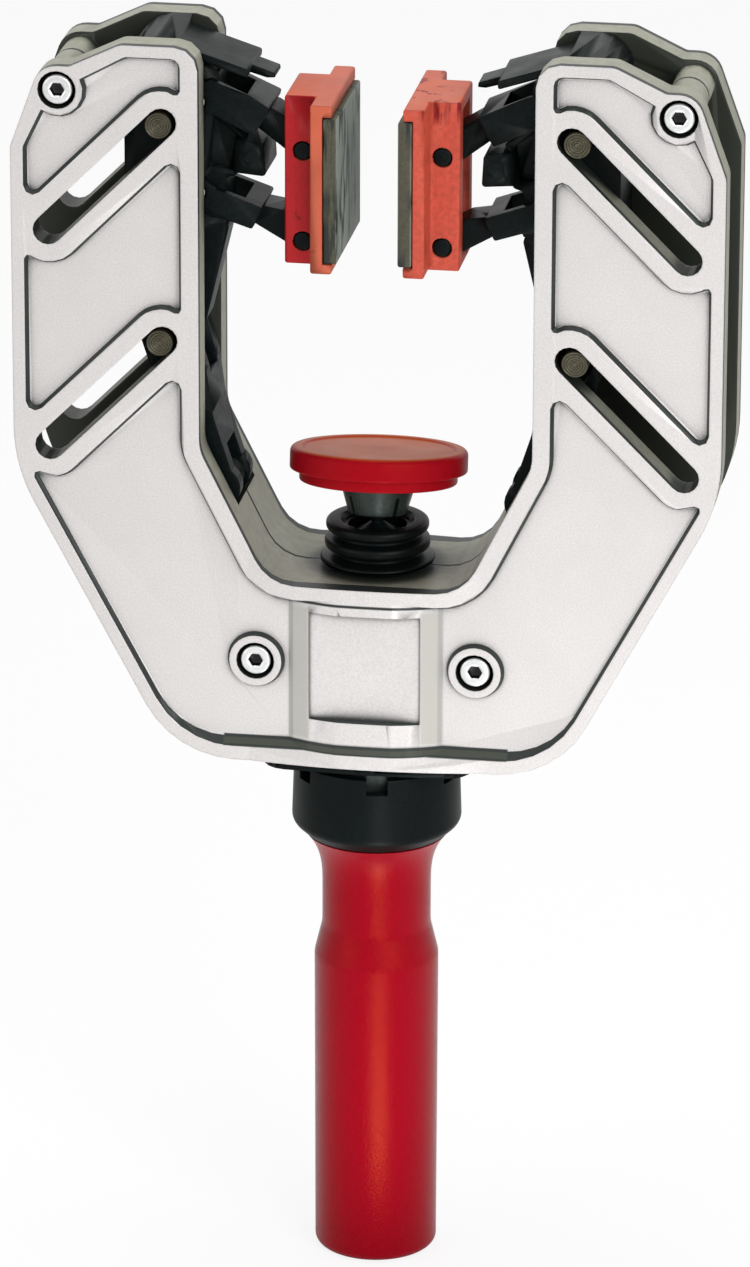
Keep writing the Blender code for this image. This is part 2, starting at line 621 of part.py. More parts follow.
def frame_corners():
    """Corners of the right half of the frame, from the foot round to the throat floor."""
    boss_top = level(ARM_SCREW_DOWN - SCREW_BOSS_RADIUS)
    lean = math.degrees(math.atan2(FRAME_HALF_WIDTH - ARM_SCREW_ACROSS - SCREW_BOSS_RADIUS,
                                   ARM_CHAMFER_DOWN - ARM_SCREW_DOWN))
    boss = arc(ARM_SCREW_ACROSS, level(ARM_SCREW_DOWN), SCREW_BOSS_RADIUS, lean, 90, 5)
    hollow = ARM_TOP_FLAT_END + (ARM_SCREW_ACROSS - ARM_TOP_FLAT_END) * ARM_HOLLOW_SHARE
    return ([(FRAME_FOOT_HALF_WIDTH, FRAME_BOTTOM, FRAME_FOOT_RADIUS),
             (FRAME_HALF_WIDTH, level(FRAME_SHOULDER_DOWN), FRAME_SHOULDER_RADIUS),
             (FRAME_HALF_WIDTH, level(ARM_CHAMFER_DOWN), ARM_CHAMFER_RADIUS)]
            + boss
            + [(ARM_SCREW_ACROSS - SCREW_BOSS_RADIUS / 2, boss_top, ARM_CHAMFER_RADIUS / 2),
               (hollow - SCREW_BOSS_RADIUS / 2, FRAME_TOP, ARM_CHAMFER_RADIUS),
               (THROAT_HALF_WIDTH, FRAME_TOP, ARM_TOP_RADIUS),
               (THROAT_HALF_WIDTH, level(THROAT_SLOPE_DOWN), THROAT_SLOPE_RADIUS),
               (THROAT_FLOOR_HALF_WIDTH, level(THROAT_DEPTH), THROAT_FLOOR_RADIUS)])


def frame_outline():
    """The whole frame outline."""
    half = frame_corners()
    return round_corners(half + mirrored(half))


def channel_outline():
    """The open space between the shells in one arm."""
    return round_corners([
        (CHANNEL_MOUTH_INNER, FRAME_TOP + OVERRUN, 0),
        (FRAME_HALF_WIDTH + OVERRUN, FRAME_TOP + OVERRUN, 0),
        (FRAME_HALF_WIDTH + OVERRUN, level(CHANNEL_FLOOR_DOWN), 0),
        (CHANNEL_FLOOR_INNER, level(CHANNEL_FLOOR_DOWN), CHANNEL_CORNER_RADIUS),
        (CHANNEL_MOUTH_INNER, level(CHANNEL_MOUTH_DOWN), 0)])


def slot_place(down, run):
    """A place on a slot's centre line, at a run across and down from its upper end."""
    return SLOT_START_ACROSS + run, level(down + run)


def slot_outline(down):
    """The guide slot's outline, a straight slot at 45 degrees."""
    start = slot_place(down, 0)
    end = slot_place(down, SLOT_RUN)
    radius = SLOT_WIDTH / 2
    return round_corners(arc(*start, radius, 45, 225) + arc(*end, radius, 225, 405))


def band_level(down, across, side):
    """The height of the edge of a slot's raised band, at a distance across."""
    return level(down) - (across - SLOT_START_ACROSS - side * BAND_HALF_WIDTH * math.sqrt(2))


def band_head(down):
    """The round upper end of a slot's raised band, with the corner beside it."""
    inner = THROAT_HALF_WIDTH + RIM_THROAT_WIDTH
    end = arc(SLOT_START_ACROSS, level(down), BAND_HALF_WIDTH, 45, 100, 4)
    return end + [(inner, level(down) + BAND_HALF_WIDTH * BAND_TOP_SHARE, PANEL_CORNER_RADIUS / 2)]


def upper_panel():
    """The sunk panel at the top of an arm, round the screw boss."""
    inner = THROAT_HALF_WIDTH + RIM_THROAT_WIDTH
    outer = FRAME_HALF_WIDTH - RIM_WIDTH
    top = FRAME_TOP - RIM_TOP_WIDTH
    boss = arc(ARM_SCREW_ACROSS, level(ARM_SCREW_DOWN), SCREW_BOSS_RADIUS + GAP, 152, 308, 7)
    return round_corners(
        [(inner, top, PANEL_CORNER_RADIUS), (ARM_TOP_FLAT_END, top, PANEL_CORNER_RADIUS)]
        + boss
        + [(outer, level(ARM_CHAMFER_DOWN), PANEL_CORNER_RADIUS),
           (outer, band_level(UPPER_SLOT_DOWN, outer, 1), PANEL_CORNER_RADIUS)]
        + band_head(UPPER_SLOT_DOWN))


def middle_panel():
    """The sunk panel between the two slots of an arm."""
    inner = THROAT_HALF_WIDTH + RIM_THROAT_WIDTH
    outer = FRAME_HALF_WIDTH - RIM_WIDTH
    across, height = slot_place(UPPER_SLOT_DOWN, SLOT_RUN)
    foot = arc(across, height, BAND_HALF_WIDTH, 225, 296, 4)
    return round_corners(
        [(inner, band_level(UPPER_SLOT_DOWN, inner, -1), PANEL_CORNER_RADIUS)]
        + foot
        + [(outer, height - BAND_HALF_WIDTH * BAND_FOOT_SHARE, PANEL_CORNER_RADIUS / 2),
           (outer, band_level(LOWER_SLOT_DOWN, outer, 1), PANEL_CORNER_RADIUS)]
        + band_head(LOWER_SLOT_DOWN))


def base_panel(ledge=0):
    """The sunk panel over the base and both lower arms."""
    inner = THROAT_HALF_WIDTH + RIM_THROAT_WIDTH
    across, height = slot_place(LOWER_SLOT_DOWN, SLOT_RUN)
    sill = height - BAND_HALF_WIDTH * BAND_SILL_SHARE
    corners = frame_corners()
    foot, shoulder = Vector(corners[0][:2]), Vector(corners[1][:2])
    slope_top, slope_foot = Vector(corners[-2][:2]), Vector(corners[-1][:2])
    sideways = Vector((1, 0))
    upwards = Vector((0, 1))
    low = line_crossing(foot - sideways, foot, RIM_BOTTOM_WIDTH + ledge, foot, shoulder, RIM_WIDTH)
    sill_point = Vector((0, sill))
    side = line_crossing(foot, shoulder, RIM_WIDTH, sill_point, sill_point + sideways, 0)
    waist = line_crossing(slope_top + upwards, slope_top, RIM_THROAT_WIDTH,
                          slope_top, slope_foot, RIM_THROAT_WIDTH)
    crotch = line_crossing(slope_top, slope_foot, RIM_THROAT_WIDTH,
                           slope_foot, slope_foot - sideways, RIM_THROAT_WIDTH)
    half = [(low.x, low.y, FRAME_FOOT_RADIUS - RIM_BOTTOM_WIDTH - ledge),
            (side.x, side.y, PANEL_CORNER_RADIUS / 2)]
    half += list(reversed(arc(across, height, BAND_HALF_WIDTH, 225, 258, 3)))
    half += [(inner, band_level(LOWER_SLOT_DOWN, inner, -1), PANEL_CORNER_RADIUS),
             (waist.x, waist.y, THROAT_SLOPE_RADIUS + RIM_THROAT_WIDTH),
             (crotch.x, crotch.y, THROAT_FLOOR_RADIUS + RIM_THROAT_WIDTH)]
    return round_corners(half + mirrored(half))


def tapered_cutter(name, points, floor_points, face):
    """A panel cutter whose walls lean inwards from the face to the panel's floor."""
    lean = [a + (a - b) * (OVERRUN / PANEL_DEPTH) for a, b in zip(points, floor_points)]
    depths = (FRAME_HALF_DEPTH - PANEL_DEPTH, FRAME_HALF_DEPTH + OVERRUN)
    rings = [[Vector((p.x, depth * face, p.y)) for p in outline]
             for depth, outline in zip(depths, (floor_points, lean))]
    return loft(name, rings)


def upright_column(name, radius, crest, low, high):
    """An upright round column whose front or rear crest stands at a depth."""
    steps = 64
    centre = crest - math.copysign(radius, crest)
    points = [Vector((radius * math.cos(math.tau * (step + 0.5) / steps),
                      centre + radius * math.sin(math.tau * (step + 0.5) / steps)))
              for step in range(steps)]
    return slab(name, points, low, high)


def both_sides(make):
    """Run a maker for the right side, and mirror a second copy to the left."""
    right = make()
    left = make()
    mirror_across(left)
    return right, left


def face_trimmer(face):
    """All that lies in front of a shell's face, which swells round the spindle."""
    width, rise = RIM_BULGE_HALF_WIDTH, RIM_BULGE_HEIGHT
    radius = (width ** 2 + rise ** 2) / (2 * rise)
    half = math.asin(width / radius)
    steps = 10
    swell = []
    for step in range(steps + 1):
        angle = half * (1 - 2 * step / steps)
        swell.append(Vector((radius * math.sin(angle),
                             face * (FRAME_HALF_DEPTH + rise - radius * (1 - math.cos(angle))))))
    reach = FRAME_HALF_WIDTH + OVERRUN
    far = face * (FRAME_HALF_DEPTH + rise + OVERRUN)
    near = face * FRAME_HALF_DEPTH
    points = [Vector((reach, far)), Vector((reach, near))] + swell
    points += [Vector((-reach, near)), Vector((-reach, far))]
    return slab("trimmer", points, FRAME_BOTTOM - OVERRUN, FRAME_TOP + OVERRUN)


def frame_shell(name, face):
    """One half of the cast frame: front at face -1, rear at face 1."""
    shell = prism(name, frame_outline(), face * SEAM_GAP / 2,
                  face * (FRAME_HALF_DEPTH + RIM_BULGE_HEIGHT + OVERRUN / 2))
    cut(shell, face_trimmer(face))
    cut_panels(shell, face)
    cut(shell, *both_sides(lambda: channel_cutter(face)))
    for down in (UPPER_SLOT_DOWN, LOWER_SLOT_DOWN):
        cut(shell, *both_sides(lambda: prism("slot", slot_outline(down),
                                             face * (PLATE_INNER_FACE - OVERRUN),
                                             face * (FRAME_HALF_DEPTH + OVERRUN))))
    cut_screw_holes(shell, face)
    pin_depth = PLATE_INNER_FACE + LEVER_PIN_SEAT + GAP
    cut(shell, *both_sides(lambda: rod("pin_seat", LEVER_PIVOT_ACROSS, level(LEVER_PIVOT_DOWN),
                                       LEVER_PIN_RADIUS + GAP, face * OVERRUN, face * pin_depth)))
    cut(shell, spindle_bore())
    return finish(shell, SHELL_GREY)


def channel_cutter(face):
    """The channel in one arm, with the post of the arm screw left standing."""
    channel = prism("channel", channel_outline(), -face * OVERRUN, face * PLATE_INNER_FACE)
    reach = PLATE_INNER_FACE + OVERRUN
    cut(channel, rod("post", ARM_SCREW_ACROSS, level(ARM_SCREW_DOWN), SCREW_POST_RADIUS,
                     -reach, reach, 24))
    return channel


def base_boss():
    """The tapered ring that stands up round a base screw."""
    lean = (BASE_BOSS_RADIUS - BASE_BOSS_FACE_RADIUS) / PANEL_DEPTH
    low = FRAME_HALF_DEPTH - PANEL_DEPTH - OVERRUN
    high = FRAME_HALF_DEPTH
    wide = BASE_BOSS_RADIUS + lean * OVERRUN
    boss = turned("boss", [(0, -high), (BASE_BOSS_FACE_RADIUS, -high), (wide, -low), (wide, low),
                           (BASE_BOSS_FACE_RADIUS, high), (0, high)], 28)
    lay_along_depth(boss)
    boss.data.transform(Matrix.Translation((BASE_SCREW_ACROSS, 0, level(BASE_SCREW_DOWN))))
    return boss


def cut_panels(shell, face):
    """Sink the panels, leaving the round bulge and its square field in the base."""
    for panel in (upper_panel, middle_panel):
        points = panel()
        cut(shell, *both_sides(lambda: tapered_cutter("panel", points,
                                                      inset(points, PANEL_DRAFT), face)))
    extra = PANEL_LEDGE_DRAFT - PANEL_DRAFT
    base = tapered_cutter("panel", base_panel(), inset(base_panel(extra), PANEL_DRAFT), face)
    crest = FRAME_HALF_DEPTH - PANEL_DEPTH + BULGE_HEIGHT
    cut(base, upright_column("bulge", BULGE_RADIUS, face * crest, FRAME_BOTTOM, FRAME_TOP))
    cut(base, *both_sides(base_boss))
    cut(shell, base)
    depths = sorted((face * FIELD_SEAT, face * (crest + OVERRUN)))
    cut(shell, box("field", (-FIELD_HALF_WIDTH, depths[0], level(FIELD_BOTTOM_DOWN)),
                   (FIELD_HALF_WIDTH, depths[1], level(FIELD_TOP_DOWN))))


def screw_hole(across, down, face):
    """The hole for one screw: counterbored in front, blind behind."""
    radius = SCREW_RADIUS + GAP
    far = FRAME_HALF_DEPTH + OVERRUN
    if face == FRONT:
        seat = COUNTERBORE_DEPTH - FRAME_HALF_DEPTH
        profile = [(0, -far), (COUNTERBORE_RADIUS, -far), (COUNTERBORE_RADIUS, seat), (radius, seat),
                   (radius, OVERRUN), (0, OVERRUN)]
    else:
        end = FRAME_HALF_DEPTH - SCREW_POINT_WALL
        profile = [(0, -OVERRUN), (radius, -OVERRUN), (radius, end), (0, end)]
    hole = turned("hole", profile, 20)
    lay_along_depth(hole)
    hole.data.transform(Matrix.Translation((across, 0, level(down))))
    return hole


def cut_screw_holes(shell, face):
    """The four screw holes of a shell."""
    for across, down in ((ARM_SCREW_ACROSS, ARM_SCREW_DOWN), (BASE_SCREW_ACROSS, BASE_SCREW_DOWN)):
        cut(shell, *both_sides(lambda: screw_hole(across, down, face)))


def spindle_bore():
    """The stepped upright bore for sleeve, bush and spindle."""
    bush_top = BUSH_TOP + GAP
    bush_foot = BUSH_FOOT - GAP
    seat = FRAME_BOTTOM + SLEEVE_FLANGE_THICKNESS + 2 * GAP
    return turned("bore", [(0, FRAME_BOTTOM - OVERRUN),
                           (SLEEVE_FLANGE_RADIUS + GAP, FRAME_BOTTOM - OVERRUN),
                           (SLEEVE_FLANGE_RADIUS + GAP, seat), (SLEEVE_RADIUS + GAP, seat),
                           (SLEEVE_RADIUS + GAP, bush_foot), (BUSH_RADIUS + GAP, bush_foot),
                           (BUSH_RADIUS + GAP, bush_top), (SPINDLE_RADIUS + GAP, bush_top),
                           (SPINDLE_RADIUS + GAP, level(THROAT_DEPTH) + OVERRUN),
                           (0, level(THROAT_DEPTH) + OVERRUN)], 32)


def socket_screw(name, across, down, side):
    """A socket head screw that holds the shells together."""
    seat = COUNTERBORE_DEPTH - FRAME_HALF_DEPTH - GAP
    top = seat - SCREW_HEAD_HEIGHT
    edge = SCREW_HEAD_RADIUS * SCREW_EDGE_SHARE
    point = FRAME_HALF_DEPTH - SCREW_POINT_WALL - GAP
    screw = turned(name, [(0, top), (SCREW_HEAD_RADIUS - edge, top), (SCREW_HEAD_RADIUS, top + edge),
                          (SCREW_HEAD_RADIUS, seat), (SCREW_RADIUS, seat),
                          (SCREW_RADIUS, point), (0, point)], 20)
    hexagon = turned("hexagon", [(0, top - OVERRUN), (SCREW_SOCKET_RADIUS, top - OVERRUN),
                                 (SCREW_SOCKET_RADIUS, top + SCREW_SOCKET_DEPTH),
                                 (0, top + SCREW_SOCKET_DEPTH)], 6)
    cut(screw, hexagon)
    lay_along_depth(screw)
    screw.data.transform(Matrix.Translation((across, 0, level(down))))
    return finish(screw, BRIGHT_STEEL, (across, 0, level(down)), side)


def build_frame():
    """Both shells with their screws, pivot pins and springs."""
    frame_shell("front_shell", FRONT)
    frame_shell("rear_shell", REAR)
    for word, side in SIDES.items():
        socket_screw(word + "_arm_screw", ARM_SCREW_ACROSS, ARM_SCREW_DOWN, side)
        socket_screw(word + "_base_screw", BASE_SCREW_ACROSS, BASE_SCREW_DOWN, side)
        reach = PLATE_INNER_FACE + LEVER_PIN_SEAT
        place = (LEVER_PIVOT_ACROSS, 0, level(LEVER_PIVOT_DOWN))
        pin = rod(word + "_lever_pivot_pin", place[0], place[2], LEVER_PIN_RADIUS, -reach, reach)
        finish(pin, STEEL, place, side)
        finish(lever_spring(word + "_lever_spring"), STEEL, place, side)


# Carriages, links and jaws

def from_shares(shares, origin, size):
    """An outline from shares of a size, measured from an origin."""
    return round_corners([(origin[0] + x * size, origin[1] + z * size, radius * size)
                          for x, z, radius in shares])


def pin_places():
    """The rest places of the upper and the lower guide pin."""
    run = PIN_START / math.sqrt(2)
    return slot_place(UPPER_SLOT_DOWN, run), slot_place(LOWER_SLOT_DOWN, run)


def link_pivots():
    """The rest places of the upper and the lower link's carriage pivot."""
    return ((LINK_PIVOT_ACROSS, level(LINK_PIVOT_DOWN)),
            (LINK_PIVOT_ACROSS, level(LINK_PIVOT_DOWN + LINK_SPAN)))


def carriage(name, side):
    """The cast carriage that runs in one arm and carries the two links."""
    upper, lower = pin_places()
    head = prism(name, round_corners([
        (CARRIAGE_HEAD_INNER, FRAME_TOP, 0), (CARRIAGE_HEAD_OUTER, FRAME_TOP, CARRIAGE_HEAD_TOP_RADIUS),
        (CARRIAGE_HEAD_OUTER, level(CARRIAGE_HEAD_HEIGHT), 0),
        (CARRIAGE_HEAD_INNER, level(CARRIAGE_HEAD_HEIGHT), 0)]),
        GAP - PLATE_INNER_FACE, PLATE_INNER_FACE - GAP)
    layers = ((TOP_FLANGE_SHARES, TOP_FLANGE_HALF_DEPTH), (FLANGE_TONGUE_SHARES, FLANGE_TONGUE_HALF_DEPTH),
              (CORE_SHARES, CARRIAGE_CORE_HALF_DEPTH), (NOSE_SHARES, NOSE_HALF_DEPTH),
              (LEG_SHARES, CARRIAGE_LEG_HALF_DEPTH))
    for shares, half_depth in layers:
        join(head, prism("layer", from_shares(shares, upper, CARRIAGE_SPAN), -half_depth, half_depth))
    join(head, rod("boss", *lower, CARRIAGE_BOSS_RADIUS, -CARRIAGE_LEG_HALF_DEPTH,
                   CARRIAGE_LEG_HALF_DEPTH, 20))
    ring = (upper[0] + NOSE_RING_SHARE[0] * CARRIAGE_SPAN, upper[1] + NOSE_RING_SHARE[1] * CARRIAGE_SPAN)
    for face in (FRONT, REAR):
        pocket = from_shares(CORE_POCKET_SHARES, upper, CARRIAGE_SPAN)
        floor = CARRIAGE_CORE_HALF_DEPTH - CORE_POCKET_DEPTH
        cut(head, prism("pocket", pocket, face * floor, face * (CARRIAGE_CORE_HALF_DEPTH + OVERRUN)))
        join(head, rod("ring", *ring, NOSE_RING_RADIUS, face * (NOSE_HALF_DEPTH - NOSE_RING_HEIGHT),
                       face * (NOSE_HALF_DEPTH + NOSE_RING_HEIGHT), 12))
    reach = PLATE_INNER_FACE + OVERRUN
    for place, radius in ((upper, PIN_RADIUS), (lower, PIN_RADIUS), (link_pivots()[0], LINK_PIN_RADIUS),
                          (link_pivots()[1], LINK_PIN_RADIUS)):
        cut(head, rod("hole", *place, radius + GAP, -reach, reach))
    return finish(head, CAST_BLACK, (upper[0], 0, upper[1]), side)


def guide_pin(name, place, side):
    """A guide pin with turned rings on both ends."""
    reach = FRAME_HALF_DEPTH - PIN_END_SINK
    rings = [share * PIN_RADIUS for share in PIN_RING_SHARES]
    front = [(0, -reach), (rings[0], -reach), (rings[1], PIN_RING_DEPTH - reach),
             (rings[2], -reach), (PIN_RADIUS - PIN_RING_DEPTH, -reach),
             (PIN_RADIUS, PIN_RING_DEPTH - reach)]
    rear = [(radius, -height) for radius, height in reversed(front)]
    pin = turned(name, front + rear, 16)
    lay_along_depth(pin)
    pin.data.transform(Matrix.Translation((place[0], 0, place[1])))
    return finish(pin, PIN_STEEL, (place[0], 0, place[1]), side)


def link(name, pivot, jaw_pin, shares, side):
    """One link: two cheeks outside the carriage core and a tongue in the jaw."""
    length = math.hypot(LINK_REACH, LINK_RISE)
    cheek_shares, gap_shares, tongue_shares, low_shares = shares
    outer, inner = LINK_CHEEK_OUTER, LINK_CHEEK_INNER

    def outline(table):
        return from_shares([(-x, z, radius) for x, z, radius in table], pivot, length)

    body = prism(name, outline(cheek_shares), -outer, outer)
    cut(body, prism("gap", outline(gap_shares), -inner, inner))
    end = [((pivot[0] - x) / length, (z - pivot[1]) / length, radius)
           for x, z, radius in arc(jaw_pin[0], jaw_pin[1], LINK_TONGUE_RADIUS, 75, 280, 7)]
    join(body, prism("tongue", outline(tongue_shares + end + low_shares), -LINK_TONGUE_HALF_DEPTH,
                     LINK_TONGUE_HALF_DEPTH))
    for place, radius in ((pivot, LINK_PIN_RADIUS), (jaw_pin, JAW_PIN_RADIUS)):
        cut(body, rod("hole", *place, radius + GAP, -outer - OVERRUN, outer + OVERRUN))
    return finish(body, CAST_BLACK, (pivot[0], 0, pivot[1]), side)


def jaw(name, side):
    """The jaw: a wide plate with a narrower block that takes both links."""
    top, foot = level(JAW_TOP_DOWN), level(JAW_FOOT_DOWN)
    edge = JAW_EDGE
    block = prism(name, round_corners([(JAW_PLATE_BACK - edge, foot, 0), (JAW_BLOCK_BACK, foot, edge),
                                       (JAW_BLOCK_BACK, top, edge), (JAW_PLATE_BACK - edge, top, 0)]),
                  -JAW_BLOCK_HALF_DEPTH, JAW_BLOCK_HALF_DEPTH)
    plate = prism("plate", round_corners([(JAW_PLATE_FACE, foot, edge), (JAW_PLATE_BACK, foot, edge),
                                          (JAW_PLATE_BACK, top, edge), (JAW_PLATE_FACE, top, edge)]),
                  -JAW_PLATE_HALF_DEPTH, JAW_PLATE_HALF_DEPTH)
    join(block, plate)
    seat = JAW_GAP_HALF + PAD_THICKNESS + GAP
    reach = JAW_PLATE_HALF_DEPTH + OVERRUN
    cut(block, box("pad_seat", (JAW_PLATE_FACE - OVERRUN, -reach, level(PAD_FOOT_DOWN) - GAP),
                   (seat, reach, level(PAD_TOP_DOWN) + GAP)))
    slot = LINK_TONGUE_HALF_DEPTH + GAP
    cut(block, box("slot", (JAW_SLOT_FACE, -slot, level(JAW_SLOT_FOOT_DOWN)),
                   (JAW_BLOCK_BACK + OVERRUN, slot, level(JAW_SLOT_TOP_DOWN))))
    for down in (JAW_UPPER_PIN_DOWN, JAW_LOWER_PIN_DOWN):
        cut(block, rod("hole", JAW_PIN_ACROSS, level(down), JAW_PIN_RADIUS + GAP, -reach, reach))
    return finish(block, JAW_RED, (JAW_PIN_ACROSS, 0, level(JAW_UPPER_PIN_DOWN)), side)


def jaw_pad(name, side):
    """The soft pad set into the jaw's face."""
    top, foot = level(PAD_TOP_DOWN), level(PAD_FOOT_DOWN)
    back = JAW_GAP_HALF + PAD_THICKNESS
    outline = round_corners([(JAW_GAP_HALF, foot, PAD_EDGE), (back, foot, 0), (back, top, 0),
                             (JAW_GAP_HALF, top, PAD_EDGE)])
    pad = loft(name, [[Vector((p.x, depth, p.y)) for p in inset(outline, back_off)]
                      for depth, back_off in ((-PAD_HALF_DEPTH, PAD_EDGE / 2),
                                              (PAD_EDGE / 2 - PAD_HALF_DEPTH, 0),
                                              (PAD_HALF_DEPTH - PAD_EDGE / 2, 0),
                                              (PAD_HALF_DEPTH, PAD_EDGE / 2))])
    return finish(pad, PAD_GREY, (JAW_PIN_ACROSS, 0, level(JAW_UPPER_PIN_DOWN)), side)


def build_jaw_sides():
    """Carriage, links, jaw and their pins, for both arms."""
    upper_shares = (UPPER_CHEEK_SHARES, UPPER_CHEEK_GAP_SHARES, UPPER_TONGUE_SHARES,
                    UPPER_TONGUE_LOW_SHARES)
    lower_shares = (LOWER_CHEEK_SHARES, LOWER_CHEEK_GAP_SHARES, LOWER_TONGUE_SHARES,
                    LOWER_TONGUE_LOW_SHARES)
    for word, side in SIDES.items():
        carriage(word + "_carriage", side)
        for height, place in zip(("upper", "lower"), pin_places()):
            guide_pin(word + "_" + height + "_guide_pin", place, side)
        downs = (JAW_UPPER_PIN_DOWN, JAW_LOWER_PIN_DOWN)
        for height, pivot, down, shares in zip(("upper", "lower"), link_pivots(), downs,
                                               (upper_shares, lower_shares)):
            jaw_pin = (JAW_PIN_ACROSS, level(down))
            link(word + "_" + height + "_link", pivot, jaw_pin, shares, side)
            pin = rod(word + "_" + height + "_link_pin", *pivot, LINK_PIN_RADIUS,
                      -LINK_CHEEK_OUTER, LINK_CHEEK_OUTER)
            finish(pin, STEEL, (pivot[0], 0, pivot[1]), side)
            pin = rod(word + "_jaw_" + height + "_pin", *jaw_pin, JAW_PIN_RADIUS,
                      -JAW_BLOCK_HALF_DEPTH, JAW_BLOCK_HALF_DEPTH)
            finish(pin, PIN_STEEL, (jaw_pin[0], 0, jaw_pin[1]), side)
        jaw(word + "_jaw", side)
        jaw_pad(word + "_jaw_pad", side)


# Levers

def lever(name, side):
    """The lever that swings with the carriage and is pushed by its spring."""
    lower = pin_places()[1]
    pivot = (LEVER_PIVOT_ACROSS, level(LEVER_PIVOT_DOWN))
    across, rise = lower[0] - pivot[0], lower[1] - pivot[1]
    nearest = (across + rise) / math.sqrt(2)
    length = math.hypot(across, rise) + LEVER_SLOT_END_CLEARANCE
    web_end = nearest - CARRIAGE_BOSS_RADIUS - LEVER_WEB_CLEARANCE
    slot = PIN_RADIUS + LEVER_SLOT_SIDE_CLEARANCE
    eye = slot + LEVER_EYE_WALL
    root = LEVER_ROOT_HALF_WIDTH
    waist, neck = length * LEVER_WAIST_SHARE, length * LEVER_NECK_SHARE
    bar = round_corners([(-root, 0, 0), (-root, waist, waist), (-eye, neck, waist)]
                        + arc(0, length, eye, 180, 0, 6)
                        + [(eye, neck, waist), (root, waist, waist), (root, 0, 0)])
    depth = LEVER_HALF_DEPTH
    body = prism(name, bar, -depth, depth)
    join(body, rod("hub", 0, 0, LEVER_HUB_RADIUS, -depth, depth, 24))
    inner = CARRIAGE_LEG_HALF_DEPTH + GAP
    far = length + 2 * eye
    cut(body, box("gap", (-eye * 2, -inner, -far), (eye * 2, inner, LEVER_WEB_START)),
        box("gap", (-eye * 2, -inner, web_end), (eye * 2, inner, far)))
    reach = depth + OVERRUN
    opening = round_corners(arc(0, nearest - LEVER_SLOT_END_CLEARANCE, slot, 180, 360, 5)
                            + arc(0, length, slot, 0, 180, 5))
    cut(body, prism("slot", opening, -reach, reach), rod("hole", 0, 0, LEVER_PIN_RADIUS + GAP,
                                                         -reach, reach))
    lean = math.atan2(across, rise)
    body.data.transform(Matrix.Translation((pivot[0], 0, pivot[1])) @ Matrix.Rotation(lean, 4, "Y"))
    return finish(body, CAST_BLACK, (pivot[0], 0, pivot[1]), side)


def lever_spring(name):
    """A torsion spring round the lever's pin: coils of wire and two short legs."""
    points = []
    start = -SPRING_PITCH * SPRING_COILS / 2
    per_coil = 8
    count = per_coil * SPRING_COILS
    for step in range(count + 1):
        angle = math.tau * step / per_coil
        points.append(Vector((SPRING_COIL_RADIUS * math.cos(angle),
                              start + SPRING_PITCH * step / per_coil,
                              SPRING_COIL_RADIUS * math.sin(angle))))
    along = Vector((0, 0, SPRING_LEG))
    points.insert(0, points[0] + along)
    points.append(points[-1] - along)
    curve = bpy.data.curves.new(name, "CURVE")
    curve.dimensions = "3D"
    curve.bevel_depth = SPRING_WIRE_RADIUS
    curve.bevel_resolution = 1
    curve.use_fill_caps = True
    path = curve.splines.new("POLY")
    path.points.add(len(points) - 1)
    pivot = Vector((LEVER_PIVOT_ACROSS, 0, level(LEVER_PIVOT_DOWN)))
    for place, point in zip(path.points, points):
        place.co = (*(point + pivot), 1)
    least = least_gap(points)
    print(name, "least gap between coils", round(least * 1000, 3), "mm")
    wire = bpy.data.objects.new(name + "_wire", curve)
    bpy.context.scene.collection.objects.link(wire)
    view = bpy.context.evaluated_depsgraph_get()
    mesh = bpy.data.meshes.new_from_object(wire.evaluated_get(view))
    bpy.data.objects.remove(wire)
    builder = bmesh.new()
    builder.from_mesh(mesh)
    return new_object(name, builder)


def least_gap(points):
    """The least clear distance between coils of the wire that aren't neighbours on it."""
    least = SPRING_LEG
    for index, here in enumerate(points):
        for there in points[index + 6:]:
            least = min(least, (here - there).length - 2 * SPRING_WIRE_RADIUS)
    return least


# Handle, screw and pressure disc

